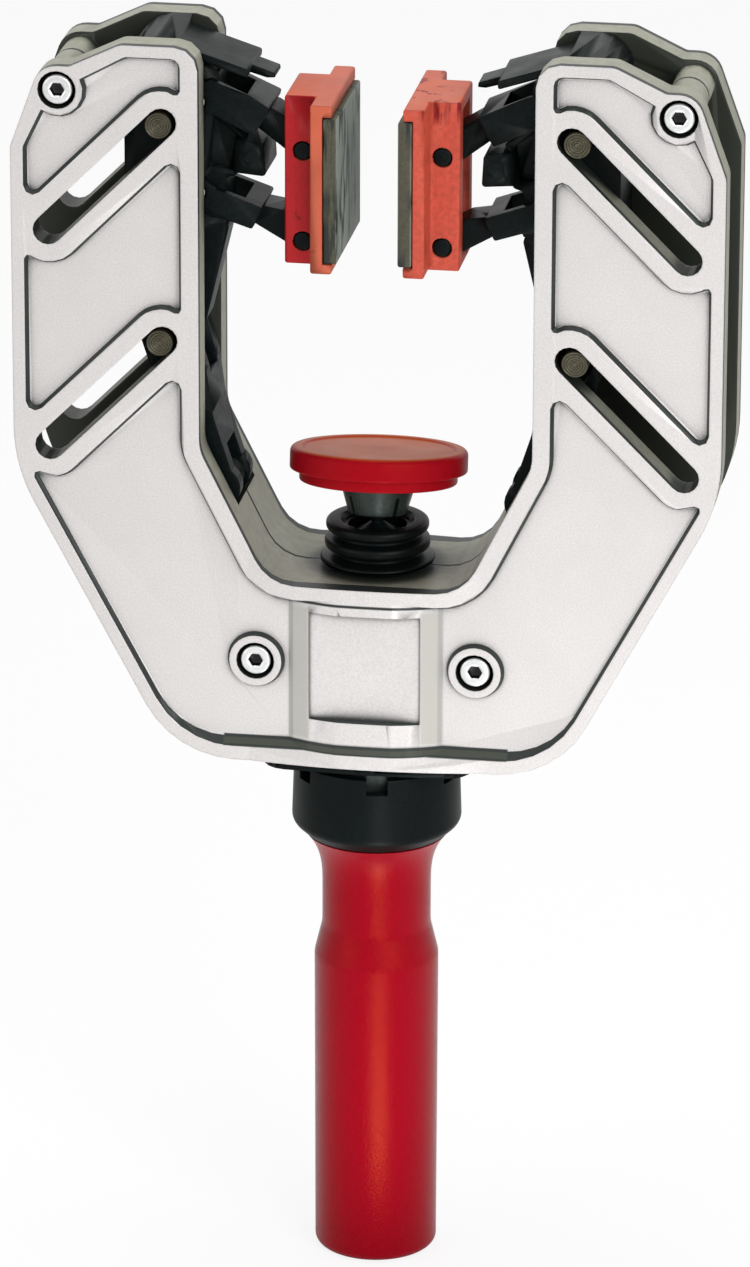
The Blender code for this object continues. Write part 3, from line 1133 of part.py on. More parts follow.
def build_handle():
    """Grip, collar and the drive sleeve that turns with them."""
    rounding = GRIP_EDGE_ROUNDING
    shoulder = GRIP_SHOULDER_HEIGHT
    flare = GRIP_LENGTH - GRIP_FLARE_LENGTH
    profile = [(0, 0), (GRIP_END_RADIUS - rounding, 0)]
    profile += [(GRIP_END_RADIUS - rounding + rounding * math.sin(math.radians(angle)),
                 rounding - rounding * math.cos(math.radians(angle))) for angle in (45, 90)]
    drop = GRIP_RADIUS - GRIP_NECK_RADIUS
    for share in GRIP_SHOULDER_SHARES:
        profile.append((GRIP_RADIUS - drop * (0.5 - 0.5 * math.cos(math.pi * share)),
                        shoulder - GRIP_SHOULDER_LENGTH * (0.5 - share)))
    widen = GRIP_MOUTH_RADIUS - GRIP_NECK_RADIUS
    for share in GRIP_FLARE_SHARES:
        profile.append((GRIP_NECK_RADIUS + widen * share ** 3, flare + GRIP_FLARE_LENGTH * share))
    profile.append((0, GRIP_LENGTH))
    grip = turned("handle_grip", profile, 32)
    cut(grip, turned("bore", [(0, SLEEVE_END_HEIGHT - GAP), (SLEEVE_RADIUS + GAP, SLEEVE_END_HEIGHT - GAP),
                              (SLEEVE_RADIUS + GAP, GRIP_LENGTH + OVERRUN), (0, GRIP_LENGTH + OVERRUN)]))
    finish(grip, GRIP_RED)
    build_collar()
    flange_foot = FRAME_BOTTOM + GAP
    flange_top = flange_foot + SLEEVE_FLANGE_THICKNESS
    inner = SPINDLE_THREAD_RADIUS + GAP
    sleeve = turned("drive_sleeve", [(SLEEVE_RADIUS, SLEEVE_END_HEIGHT), (SLEEVE_RADIUS, flange_foot),
                                     (SLEEVE_FLANGE_RADIUS, flange_foot),
                                     (SLEEVE_FLANGE_RADIUS, flange_top), (SLEEVE_RADIUS, flange_top),
                                     (SLEEVE_RADIUS, SLEEVE_TOP_HEIGHT), (inner, SLEEVE_TOP_HEIGHT),
                                     (inner, SLEEVE_END_HEIGHT)], bore=True)
    finish(sleeve, STEEL)


def build_collar():
    """The notched collar between handle and frame."""
    bore = SLEEVE_RADIUS + GAP
    cup = COLLAR_TOP - COLLAR_CUP_DEPTH
    lip = COLLAR_TOP_RADIUS - COLLAR_WALL
    post = bore + COLLAR_WALL * COLLAR_POST_SHARE
    cone = COLLAR_FOOT + COLLAR_CONE_HEIGHT
    profile = [(COLLAR_FOOT_RADIUS, COLLAR_FOOT), (COLLAR_RADIUS, cone), (COLLAR_TOP_RADIUS, COLLAR_TOP),
               (lip, COLLAR_TOP), (lip, cup), (post, cup), (post, COLLAR_TOP), (bore, COLLAR_TOP),
               (bore, COLLAR_FOOT)]
    collar = turned("collar", profile, 48, bore=True)
    for number in range(COLLAR_NOTCHES):
        notch = box("notch", (lip - COLLAR_WALL, -COLLAR_NOTCH_WIDTH / 2, COLLAR_TOP - COLLAR_NOTCH_DEPTH),
                    (COLLAR_RADIUS + OVERRUN, COLLAR_NOTCH_WIDTH / 2, COLLAR_TOP + OVERRUN))
        angle = math.radians(COLLAR_NOTCH_START_DEG + 360 * number / COLLAR_NOTCHES)
        notch.data.transform(Matrix.Rotation(angle, 4, "Z"))
        cut(collar, notch)
    finish(collar, PLASTIC_BLACK)


def build_base_plates():
    """The flange under the frame and the thrust ring in the collar."""
    half, depth = FLANGE_HALF_WIDTH, FLANGE_HALF_DEPTH
    crest = FRAME_HALF_DEPTH + RIM_BULGE_HEIGHT * FLANGE_CREST_SHARE
    quarter = [(half, 0, 0), (half, depth, FLANGE_CORNER_RADIUS), (0, crest, half * 2)]
    corners = quarter + [(-half, depth, FLANGE_CORNER_RADIUS), (-half, 0, 0),
                         (-half, -depth, FLANGE_CORNER_RADIUS), (0, -crest, half * 2),
                         (half, -depth, FLANGE_CORNER_RADIUS)]
    flange = slab("base_flange", round_corners(corners), FLANGE_TOP - FLANGE_THICKNESS, FLANGE_TOP)
    cut(flange, turned("bore", [(0, FLANGE_TOP - OVERRUN), (SLEEVE_RADIUS + GAP, FLANGE_TOP - OVERRUN),
                                (SLEEVE_RADIUS + GAP, FLANGE_TOP + OVERRUN), (0, FLANGE_TOP + OVERRUN)]))
    finish(flange, PLASTIC_BLACK)
    inner = SLEEVE_RADIUS + COLLAR_WALL * COLLAR_POST_SHARE + 2 * GAP
    outer = COLLAR_TOP_RADIUS - COLLAR_WALL - THRUST_RING_CLEARANCE
    low = COLLAR_TOP - COLLAR_CUP_DEPTH + GAP
    high = FLANGE_TOP - FLANGE_THICKNESS - GAP
    ring = turned("thrust_ring", [(outer, low), (outer, high), (inner, high), (inner, low)], 32,
                  bore=True)
    finish(ring, STEEL)


def build_spindle():
    """Spindle, guide bush, ball, socket, disc and seal."""
    ball = level(BALL_DOWN)
    shoulder = ball - SPINDLE_SHOULDER_DROP
    thread_top = SLEEVE_TOP_HEIGHT + 3 * GAP
    edge = SPINDLE_THREAD_RADIUS * SPINDLE_EDGE_SHARE
    spindle = turned("spindle", [(0, SPINDLE_END_HEIGHT), (SPINDLE_THREAD_RADIUS - edge, SPINDLE_END_HEIGHT),
                                 (SPINDLE_THREAD_RADIUS, SPINDLE_END_HEIGHT + edge),
                                 (SPINDLE_THREAD_RADIUS, thread_top), (SPINDLE_RADIUS, thread_top),
                                 (SPINDLE_RADIUS, shoulder),
                                 (SPINDLE_STEM_RADIUS, shoulder + SPINDLE_CONE_LENGTH),
                                 (SPINDLE_STEM_RADIUS, ball + BALL_STEM_ENGAGEMENT),
                                 (0, ball + BALL_STEM_ENGAGEMENT)])
    finish(spindle, BRIGHT_STEEL)
    bore = SPINDLE_RADIUS + GAP
    bush = turned("guide_bush", [(BUSH_RADIUS, BUSH_FOOT), (BUSH_RADIUS, BUSH_TOP), (bore, BUSH_TOP),
                                 (bore, BUSH_FOOT)], bore=True)
    finish(bush, BRONZE)
    build_ball(ball)
    build_socket(ball)
    build_disc(ball)
    build_seal()


def build_ball(height):
    """The ball on the spindle's end."""
    steps = 10
    profile = [(BALL_RADIUS * math.sin(math.pi * step / steps),
                height - BALL_RADIUS * math.cos(math.pi * step / steps)) for step in range(1, steps)]
    ball = turned("spindle_ball", [(0, height - BALL_RADIUS)] + profile + [(0, height + BALL_RADIUS)], 20)
    inner = SPINDLE_STEM_RADIUS + GAP
    cut(ball, turned("stem_hole", [(0, height - BALL_RADIUS * 2), (inner, height - BALL_RADIUS * 2),
                                   (inner, height + BALL_STEM_ENGAGEMENT + GAP),
                                   (0, height + BALL_STEM_ENGAGEMENT + GAP)], 16))
    finish(ball, STEEL, (0, 0, height))


def lean_back(thing, height):
    """Tip a solid of the disc back about the ball's centre."""
    pivot = Matrix.Translation((0, 0, height))
    lean = Matrix.Rotation(math.radians(-DISC_LEAN_DEG), 4, "X")
    thing.data.transform(pivot @ lean @ pivot.inverted())


def build_socket(height):
    """The split socket that holds the ball under the disc."""
    top = height + SOCKET_RISE
    foot = height - SOCKET_DROP
    cavity = BALL_RADIUS + GAP
    lip_angle = math.asin(SOCKET_LIP_RADIUS / cavity)
    outer = [(SOCKET_FOOT_RADIUS, foot), (SOCKET_TOP_RADIUS, top), (SOCKET_STUD_RADIUS, top),
             (SOCKET_STUD_RADIUS, top + SOCKET_STUD_LENGTH), (0, top + SOCKET_STUD_LENGTH)]
    steps = 7
    inner = []
    for step in range(steps + 1):
        angle = math.pi - (math.pi - lip_angle) * (1 - step / steps)
        inner.append((cavity * math.sin(angle), height - cavity * math.cos(angle)))
    inner[-1] = (0, height + cavity)
    profile = [(0, top + SOCKET_STUD_LENGTH)] + list(reversed(outer[:-1]))
    profile += [(SOCKET_MOUTH_RADIUS, foot)] + inner
    socket = turned("ball_socket", profile, 28)
    slit = SOCKET_SLIT_WIDTH / 2
    reach = SOCKET_TOP_RADIUS + OVERRUN
    for angle_deg in (45, 135):
        cross = box("slit", (-reach, -slit, foot - OVERRUN), (reach, slit, height + SOCKET_SLIT_TOP))
        cross.data.transform(Matrix.Rotation(math.radians(angle_deg), 4, "Z"))
        cut(socket, cross)
    lean_back(socket, height)
    finish(socket, SOCKET_GREY, (0, 0, height))


def build_disc(height):
    """The round pressure disc."""
    top = height + DISC_RISE
    foot = top - DISC_THICKNESS
    step_top = foot + DISC_STEP_HEIGHT
    edge = DISC_EDGE_ROUNDING
    hole = SOCKET_STUD_RADIUS + GAP
    hole_top = foot + SOCKET_STUD_LENGTH
    profile = [(0, hole_top), (hole, hole_top), (hole, foot), (DISC_STEP_RADIUS - edge / 2, foot),
               (DISC_STEP_RADIUS, foot + edge / 2), (DISC_STEP_RADIUS, step_top),
               (DISC_RADIUS - edge / 2, step_top), (DISC_RADIUS, step_top + edge / 2),
               (DISC_RADIUS, top - edge),
               (DISC_RADIUS - edge * DISC_EDGE_SHARE, top - edge * DISC_EDGE_SHARE),
               (DISC_RADIUS - edge, top),
               (DISC_DISH_RADIUS, top), (DISC_DISH_RADIUS - DISC_DISH_DEPTH, top - DISC_DISH_DEPTH),
               (0, top - DISC_DISH_DEPTH)]
    disc = turned("pressure_disc", profile, 40)
    lean_back(disc, height)
    finish(disc, JAW_RED, (0, 0, height))


def build_seal():
    """The ribbed rubber seal that the spindle slides through."""
    inner = SPINDLE_RADIUS + GAP
    foot = level(THROAT_DEPTH) + GAP
    half = SEAL_RIB_THICKNESS / 2
    profile = [(SEAL_CORE_RADIUS, foot)]
    for rise, width in zip(reversed(SEAL_RIB_RISE), reversed(SEAL_RIB_WIDTH)):
        middle = level(THROAT_DEPTH - rise)
        radius = SEAL_CORE_RADIUS + width
        profile += [(SEAL_CORE_RADIUS, max(middle - 2 * half, foot)), (radius, middle - half / 2),
                    (radius, middle + half / 2), (SEAL_CORE_RADIUS, middle + 2 * half)]
    top = level(THROAT_DEPTH - SEAL_HEIGHT)
    profile = [point for index, point in enumerate(profile) if index == 0 or point != profile[index - 1]]
    profile[-1] = (SEAL_CORE_RADIUS, top)
    profile += [(SEAL_DISH_RADIUS, top), (SEAL_DISH_RADIUS - half / 2, top - SEAL_DISH_DEPTH),
                              (inner, top - SEAL_DISH_DEPTH), (inner, foot)]
    seal = turned("spindle_seal", profile, 28, bore=True)
    finish(seal, RUBBER)


def main():
    clear_scene()
    build_frame()
    build_jaw_sides()
    for word, side in SIDES.items():
        lever(word + "_lever", side)
    build_handle()
    build_base_plates()
    build_spindle()


main()
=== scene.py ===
"""Edge clamp: finishes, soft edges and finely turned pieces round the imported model.

Lengths are in metres in the model's own frame: +Z runs up the spindle, +X across the two
arms, and the front face looks along -Y. The origin is the centre of the grip's flat end.
"""

import logging
import math
from dataclasses import dataclass
from enum import Enum
from typing import Iterable, Optional, Sequence

import bmesh
import bpy
from bmesh.types import BMesh
from bpy.types import Material, Node, NodeSocket, NodeTree, Object, bpy_prop_collection
from mathutils import Matrix, Vector


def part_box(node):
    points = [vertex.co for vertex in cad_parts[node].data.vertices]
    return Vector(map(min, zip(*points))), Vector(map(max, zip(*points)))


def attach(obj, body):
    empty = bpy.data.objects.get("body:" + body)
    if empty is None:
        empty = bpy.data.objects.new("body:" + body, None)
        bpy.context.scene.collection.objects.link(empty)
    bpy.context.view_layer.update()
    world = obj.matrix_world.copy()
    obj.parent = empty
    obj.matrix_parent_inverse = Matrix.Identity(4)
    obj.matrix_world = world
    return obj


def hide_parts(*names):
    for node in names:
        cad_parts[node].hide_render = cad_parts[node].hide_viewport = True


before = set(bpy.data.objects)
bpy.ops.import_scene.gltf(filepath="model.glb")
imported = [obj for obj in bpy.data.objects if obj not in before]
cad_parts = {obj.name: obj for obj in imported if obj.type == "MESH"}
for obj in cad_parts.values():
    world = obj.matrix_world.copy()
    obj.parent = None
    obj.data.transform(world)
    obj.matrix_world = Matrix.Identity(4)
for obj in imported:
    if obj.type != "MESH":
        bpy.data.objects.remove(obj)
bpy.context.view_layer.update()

LOG = logging.getLogger("edge_clamp")
ARM_TOP = 0.2755
WHITE = (1.0, 1.0, 1.0, 1.0)

# The usual edge radii of turned pieces.
CRISP, FINE, EASED, SOFT = 0.0002, 0.0003, 0.0004, 0.0006

# How far the noise patterns are shifted, so that no two run alike.
BLOTCH_SHIFT, SKIN_SHIFT, PATCH_SHIFT, STREAK_SHIFT = 0.37, 0.11, 0.53, 0.71

Pair = tuple[float, float]
Corner = tuple[float, float, float]
Colour = tuple[float, float, float]
Band = tuple[float, float, float]
GrooveShadow = tuple[float, float, float, float]


def level(down: float) -> float:
    """Height of a place given as its distance below the arm tops."""
    return ARM_TOP - down


class Arm(Enum):
    """The two arms of the clamp, with the side that each is on."""

    LEFT = -1
    RIGHT = 1

    @property
    def word(self) -> str:
        """The arm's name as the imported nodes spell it."""
        return self.name.lower()

    def across(self, distance: float) -> float:
        """A distance from the centre line, on this arm's side."""
        return self.value * distance


class Grain(Enum):
    """How the fine texture of a finish runs."""

    EVEN = (1.0, 1.0, 1.0)
    UPRIGHT = (1.0, 1.0, 0.12)
    DEEPWISE = (1.0, 0.15, 1.0)


# Materials


class Nodes:
    """A node tree that is built up one node at a time."""

    prefix = "ShaderNode"

    def __init__(self, tree: NodeTree) -> None:
        """Take on a tree."""
        self.tree = tree

    def join(self, source: object, entry: NodeSocket) -> None:
        """Join a socket to an input, or set the input to a plain value."""
        if isinstance(source, NodeSocket):
            self.tree.links.new(source, entry)
        else:
            entry.default_value = source

    def add(self, kind: str, **values: object) -> Node:
        """Add a node and fill its inputs.

        Args:
            kind: The node's type without its prefix.
            **values: Values or sockets by input name, with underscores for spaces.

        Returns:
            The new node.
        """
        node = self.tree.nodes.new(self.prefix + kind)
        for key, value in values.items():
            self.join(value, node.inputs[key.replace("_", " ")])
        return node

    def math(self, operation: str, *numbers: object) -> NodeSocket:
        """Work out one number.

        Args:
            operation: What the Math node does.
            *numbers: Values or sockets that it works on.

        Returns:
            The socket that gives the result.
        """
        node = self.add("Math")
        node.operation = operation
        for entry, number in zip(node.inputs, numbers):
            self.join(number, entry)
        return node.outputs["Value"]

    def surface(self, share: NodeSocket, first: Node, second: Node, output: str) -> None:
        """Mix two shaders and show the result.

        Args:
            share: The share of the second shader.
            first: The node of the first shader.
            second: The node of the second shader.
            output: The output node's name.
        """
        mix = self.add("MixShader")
        for entry, source in zip(mix.inputs, (share, first.outputs[0], second.outputs[0])):
            self.join(source, entry)
        self.join(mix.outputs["Shader"], self.tree.nodes[output].inputs["Surface"])


class Board(Nodes):
    """A material's node tree, with its shader and its rounded edges."""

    edge_samples = 4
    noise_roughness = 0.6

    def __init__(self, name: str, edge: float = 0.0003) -> None:
        """Start a material with only its shader, its output and its round edges.

        Args:
            name: The finish's name in plain words.
            edge: The radius that edges look rounded by.
        """
        self.material = bpy.data.materials.new(name)
        self.material.use_nodes = True
        super().__init__(self.material.node_tree)
        self.shader = self.tree.nodes["Principled BSDF"]
        rounding = self.add("Bevel", Radius=edge)
        rounding.samples = self.edge_samples
        self.edges = rounding.outputs["Normal"]

    def place(self, stretch: Grain = Grain.EVEN, offset: float = 0.0) -> NodeSocket:
        """Object coordinates, stretched along the grain and shifted by an offset."""
        coordinates = self.add("TexCoord").outputs["Object"]
        return self.add("Mapping", Vector=coordinates, Scale=stretch.value,
                        Location=(offset, offset, offset)).outputs["Vector"]

    def split(self, vector: NodeSocket) -> bpy_prop_collection:
        """The sockets X, Y and Z of a vector."""
        return self.add("SeparateXYZ", Vector=vector).outputs

    def noise(self, scale: float, detail: float, stretch: Grain = Grain.EVEN,
              offset: float = 0.0) -> NodeSocket:
        """A noise of so many cells in a metre and so many finer octaves, along the grain."""
        return self.add("TexNoise", Vector=self.place(stretch, offset), Scale=scale,
                        Detail=detail, Roughness=self.noise_roughness).outputs["Fac"]

    def ramp(self, source: NodeSocket, low: float, high: float, start: float = 0.0,
             end: float = 1.0) -> NodeSocket:
        """A number that runs from start to end as the source runs from low to high."""
        return self.add("MapRange", Value=source, From_Min=low, From_Max=high, To_Min=start,
                        To_Max=end).outputs["Result"]

    def face_normal(self) -> bpy_prop_collection:
        """The faces' own directions in the piece's frame, split into X, Y and Z."""
        turn = self.add("VectorTransform", Vector=self.add("NewGeometry").outputs["True Normal"])
        turn.vector_type, turn.convert_from, turn.convert_to = "NORMAL", "WORLD", "OBJECT"
        return self.split(turn.outputs["Vector"])

    def near(self, source: NodeSocket, middle: float, half: float, fade: float) -> NodeSocket:
        """One within half of the middle, which fades to nothing over the fade beyond."""
        return self.ramp(self.size_of(self.math("SUBTRACT", source, middle)), half, half + fade,
                         1.0, 0.0)

    def product(self, first: NodeSocket, *others: NodeSocket) -> NodeSocket:
        """Multiply numbers."""
        for other in others:
            first = self.math("MULTIPLY", first, other)
        return first

    def size_of(self, source: NodeSocket) -> NodeSocket:
        """Drop a number's sign."""
        return self.math("ABSOLUTE", source)

    def blend(self, factor: NodeSocket, first: object, second: object) -> NodeSocket:
        """Mix two colours by a factor.

        Args:
            factor: The share of the second colour.
            first: A colour or a socket.
            second: A colour or a socket.

        Returns:
            The socket that gives the mixed colour.
        """
        node = self.add("Mix")
        node.data_type = "RGBA"
        self.join(factor, node.inputs["Factor"])
        for entry, colour in zip(node.inputs[6:8], (first, second)):
            self.join((*colour, 1.0) if isinstance(colour, tuple) else colour, entry)
        return node.outputs[2]

    def vary(self, pattern: NodeSocket, colour: Colour, share: float,
             low: float = 0.3, high: float = 0.7) -> NodeSocket:
        """A colour darker by a share where the pattern is low, and lighter where it's high."""
        return self.blend(self.ramp(pattern, low, high), shade(colour, 1.0 - share),
                          shade(colour, 1.0 + share))

    def paint(self, colour: NodeSocket) -> Material:
        """Give the shader its colour, which ends the material."""
        self.join(colour, self.shader.inputs["Base Color"])
        return self.material

    def bump(self, height: NodeSocket, distance: float, strength: float = 1.0,
             under: Optional[NodeSocket] = None) -> NodeSocket:
        """Roughen the surface by a height pattern.

        Args:
            height: The pattern.
            distance: The height of its relief.
            strength: How much of it shows.
            under: A coarser relief that this one lies on.

        Returns:
            The socket that gives the normal.
        """
        normal = self.add("Bump", Height=height, Distance=distance, Strength=strength,
                          Normal=self.edges if under is None else under).outputs["Normal"]
        self.join(normal, self.shader.inputs["Normal"])
        return normal


def shade(colour: Colour, amount: float) -> Colour:
    """A colour made darker or lighter by a share."""
    return tuple(min(1.0, channel * amount) for channel in colour)


@dataclass(frozen=True)
class Finish:
    """A finish with fine grain and soft blotches of tone."""

    name: str
    colour: Colour
    roughness: float
    metallic: float = 0.0
    grain: float = 1500.0
    relief: float = 0.00002
    tone: float = 0.12
    blotch: float = 90.0
    shine: float = 0.5
    edge: float = 0.0003
    tint: Colour = (1.0, 1.0, 1.0)
    blotch_range: Pair = (0.35, 0.7)
    blotch_shade: float = 0.72
    wear: float = 0.12

    def base(self) -> Board:
        """Set up the shader's constant values.

        Returns:
            The board, ready for its patterns.
        """
        board = Board(self.name, self.edge)
        for entry, value in (("Metallic", self.metallic), ("Specular IOR Level", self.shine),
                             ("Specular Tint", (*self.tint, 1.0))):
            board.join(value, board.shader.inputs[entry])
        return board

    def patterned(self, board: Board) -> NodeSocket:
        """Lay the grain, the blotches and the relief.

        Args:
            board: The material's board.

        Returns:
            The socket that gives the colour.
        """
        fine = board.noise(self.grain, 3.0)
        coarse = board.noise(self.blotch, 2.0, Grain.EVEN, BLOTCH_SHIFT)
        toned = board.blend(board.ramp(coarse, *self.blotch_range, 0.0, self.tone * 2.0),
                            board.vary(fine, self.colour, self.tone),
                            shade(self.colour, self.blotch_shade))
        rough = board.ramp(coarse, 0.3, 0.7, self.roughness * (1.0 - self.wear),
                           self.roughness * (1.0 + self.wear))
        board.join(rough, board.shader.inputs["Roughness"])
        board.bump(fine, self.relief)
        return toned

    def make(self) -> Material:
        """Build the plain material."""
        board = self.base()
        return board.paint(self.patterned(board))


@dataclass(frozen=True)
class CastFinish(Finish):
    """Blasted casting: pale faces, a duller skin on walls, and painted shade on walls, slots and
    panel edges.

    A pair gives both ends of a soft change. A band gives its middle, half width and fade, and
    a groove shadow has its reach from the centre line too.
    """

    # The walls' colour: a duller cast skin, also darkened as painted shade.
    wall: Colour = (0.335, 0.335, 0.265)
    # Painted shade where walls are closed in.
    deep: Colour = (0.020, 0.026, 0.020)
    # The seam's dark joint line; the same colour is painted shade at panel edges and on outer
    # walls, and painted shadow lines in each groove and at the base panel's foot.
    line: Colour = (0.022, 0.028, 0.026)
    # Painted shade on the faces of the shell's hollow, away from its outer faces.
    inside: Colour = (0.030, 0.034, 0.026)
    reach: float = 0.0065
    # Openness below which painted shade sets in, on walls and on faces.
    open_wall: Pair = (0.74, 0.98)
    open_face: Pair = (0.60, 0.80)
    # Faces that look to the front less than this take the walls' colour, with its painted shade.
    upright: Pair = (0.74, 0.91)
    shell_outside: Pair = (0.01542, 0.01562)
    seam: Pair = (0.00045, 0.00063)
    skin_grain: float = 420.0
    skin_tone: float = 0.10
    skin_relief: float = 0.00006
    # Painted shade on the bulge's flanks beside the field.
    flank_shade: Colour = (0.46, 0.45, 0.41)
    flank_shade_share: float = 0.8
    flank_shade_across: Band = (0.0143, 0.0020, 0.0008)
    flank_shade_height: Band = (level(0.1368), 0.0145, 0.0010)
    # Painted shadow lines in each groove that the bulge runs into.
    groove_shadows: tuple[GrooveShadow, ...] = ((level(0.1207), 0.00020, 0.00025, 0.0165),
                                   (level(0.1533), 0.0006, 0.0009, 0.0185))
    groove_end: float = 0.004
    # Painted shade on the step along the base panel's foot, with painted shadow lines at its
    # edges.
    ledge: Colour = (0.052, 0.058, 0.044)
    ledge_ends: Pair = (0.0305, 0.0309)
    ledge_front: Pair = (0.30, 0.50)
    ledge_band: Band = (level(0.1533), 0.0009, 0.0003)
    ledge_lines: tuple[Band, ...] = ((level(0.1543), 0.0001, 0.0002),
                                     (level(0.1526), 0.000242, 0.0002))
    rim_top: Pair = (level(0.1547), level(0.1545))

    def make(self) -> Material:
        """Build the material, with walls told from faces by the way that they face, and painted
        shade.
        """
        board = self.base()
        face = self.patterned(board)
        place = board.split(board.place())
        across, depth = board.size_of(place["X"]), board.size_of(place["Y"])
        frontal = board.size_of(board.face_normal()["Y"])
        # Ambient occlusion finds closed-in places, which get painted shade.
        corners = board.add("AmbientOcclusion", Distance=self.reach)
        corners.samples = 8
        openness = corners.outputs["AO"]
        cast = board.noise(self.skin_grain, 4.0, Grain.EVEN, SKIN_SHIFT)
        # Painted shade: faces turned away from the front take the darker walls' colour.
        steep = board.ramp(frontal, *self.upright, 1.0, 0.0)
        faces = self.faces(board, face, openness, (across, depth, place["Z"]))
        painted = board.blend(steep, faces, self.walls(board, cast, openness, depth))
        coarse = board.bump(board.product(cast, steep), self.skin_relief, 0.5)
        board.bump(board.noise(self.grain, 3.0), self.relief, 1.0, coarse)
        return board.paint(self.base_ledge(board, painted, face, (across, frontal, place["Z"])))

    def walls(self, board: Board, cast: NodeSocket, openness: NodeSocket,
              depth: NodeSocket) -> NodeSocket:
        """The colour of the walls: a dull skin with painted shade, darker painted shade where it
        is closed in, and a dark line along the seam.

        Args:
            board: The material's board.
            cast: The skin's pattern.
            openness: How open each place is.
            depth: The distance from the seam.

        Returns:
            The socket that gives the colour.
        """
        skin = board.vary(cast, self.wall, self.skin_tone, 0.35, 0.65)
        # Painted shade: closed-in walls turn dark.
        inner = board.blend(board.ramp(openness, *self.open_wall), self.deep, skin)
        seamed = board.blend(board.ramp(depth, *self.seam), self.line, inner)
        # Painted shade: walls near the outer faces take the dark line colour.
        return board.blend(board.ramp(depth, *self.shell_outside), seamed, self.line)

    def faces(self, board: Board, face: NodeSocket, openness: NodeSocket,
              place: Sequence[NodeSocket]) -> NodeSocket:
        """The colour of the faces: painted shade in corners, in the shell's hollow and on the
        bulge's flanks, and painted shadow lines in each groove.

        Args:
            board: The material's board.
            face: The plain colour.
            openness: How open each place is.
            place: The distances across and in depth, and the height.

        Returns:
            The socket that gives the colour.
        """
        across, depth, height = place
        outside = board.ramp(depth, *self.shell_outside)
        # Painted shade: closed-in faces take the dark line colour.
        edged = board.blend(board.ramp(openness, *self.open_face), self.line, face)
        # Painted shade: faces of the shell's hollow turn dark.
        edged = board.blend(outside, self.inside, edged)
        # Painted shade on the bulge's flanks.
        flank_shade = board.product(board.near(across, *self.flank_shade_across),
                              board.near(height, *self.flank_shade_height),
                              board.ramp(outside, 0.0, 1.0, 0.0, self.flank_shade_share))
        edged = board.blend(flank_shade, edged, self.flank_shade)
        # Painted shadow lines across the panel in each groove.
        for middle, half, fade, reach in self.groove_shadows:
            band = board.product(board.near(height, middle, half, fade),
                                 board.near(across, 0.0, reach, self.groove_end))
            edged = board.blend(band, edged, self.line)
        return edged

    def base_ledge(self, board: Board, painted: NodeSocket, face: NodeSocket,
                   place: Sequence[NodeSocket]) -> NodeSocket:
        """Paint shade and shadow lines on the step along the base panel's foot, and keep the rim
        under it plain.

        Args:
            board: The material's board.
            painted: The colour so far.
            face: The plain colour.
            place: The distance across, how far the face looks to the front, and the height.

        Returns:
            The socket that gives the colour.
        """
        across, frontal, height = place
        here = board.product(board.ramp(across, *self.ledge_ends, 1.0, 0.0),
                             board.ramp(frontal, *self.ledge_front))
        # Painted shade on the step, and painted shadow lines at its edges.
        bands = [(self.ledge_band, self.ledge)] + [(band, self.line) for band in self.ledge_lines]
        for band, colour in bands:
            share = board.product(board.near(height, *band), here)
            painted = board.blend(share, painted, colour)
        below = board.product(here, board.ramp(height, *self.rim_top, 1.0, 0.0))
        return board.blend(below, painted, face)


@dataclass(frozen=True)
class ScrewFinish(Finish):
    """Bright plating, with painted shade in the socket and down the sides of the head."""

    deep: Colour = (0.02, 0.02, 0.02)
    head_side: Pair = (-0.01655, -0.01625)

    def make(self) -> Material:
        """Build the material, with the painted shade told by its depth."""
        board = self.base()
        # Painted shade in the socket and down the head's sides.
        deep = board.ramp(board.split(board.place())["Y"], *self.head_side)
        return board.paint(board.blend(deep, self.patterned(board), self.deep))


@dataclass(frozen=True)
class FacedFinish(Finish):
    """A finish with a second tone on the faces that look along one axis, rubbed into streaks; on
    faces that look up, the second tone is painted light.
    """

    axis: str = "Z"
    # The second tone; on faces that look up it is painted light.
    faced: Colour = (0.5, 0.5, 0.5)
    faced_from: float = 0.55
    faced_fade: float = 0.25
    faced_tone: float = 0.14
    flange: float = -1.0
    patch: float = 70.0
    streak: Colour = (0.02, 0.022, 0.02)
    cover: float = 1.0
    run: Grain = Grain.UPRIGHT
    streak_scale: float = 260.0
    streak_fade: float = 0.07
    rubbed: Pair = (0.40, 0.55)

    def make(self) -> Material:
        """Build the material, with streaks that run with the wear."""
        board = self.base()
        ground = self.patterned(board)
        facing = board.face_normal()[self.axis]
        if self.axis != "Z":
            facing = board.size_of(facing)
        patches = board.noise(self.patch, 2.0, Grain.EVEN, PATCH_SHIFT)
        toned = board.vary(patches, self.faced, self.faced_tone)
        # Faces that look along the axis take the second tone; where they look up, it is painted
        # light.
        turned_up = board.ramp(facing, self.faced_from, self.faced_from + self.faced_fade)
        ground = board.blend(turned_up, ground, toned)
        across = board.size_of(board.split(board.place())["X"])
        # Faces nearer the centre line than the flange take the second tone all over.
        beyond = board.ramp(across, self.flange, self.flange + 0.0001)
        ground = board.blend(beyond, toned, ground)
        streaks = board.noise(self.streak_scale, 5.0, self.run, STREAK_SHIFT)
        worn = board.product(board.ramp(streaks, self.cover, self.cover + self.streak_fade),
                             board.ramp(patches, *self.rubbed))
        return board.paint(board.blend(worn, ground, self.streak))


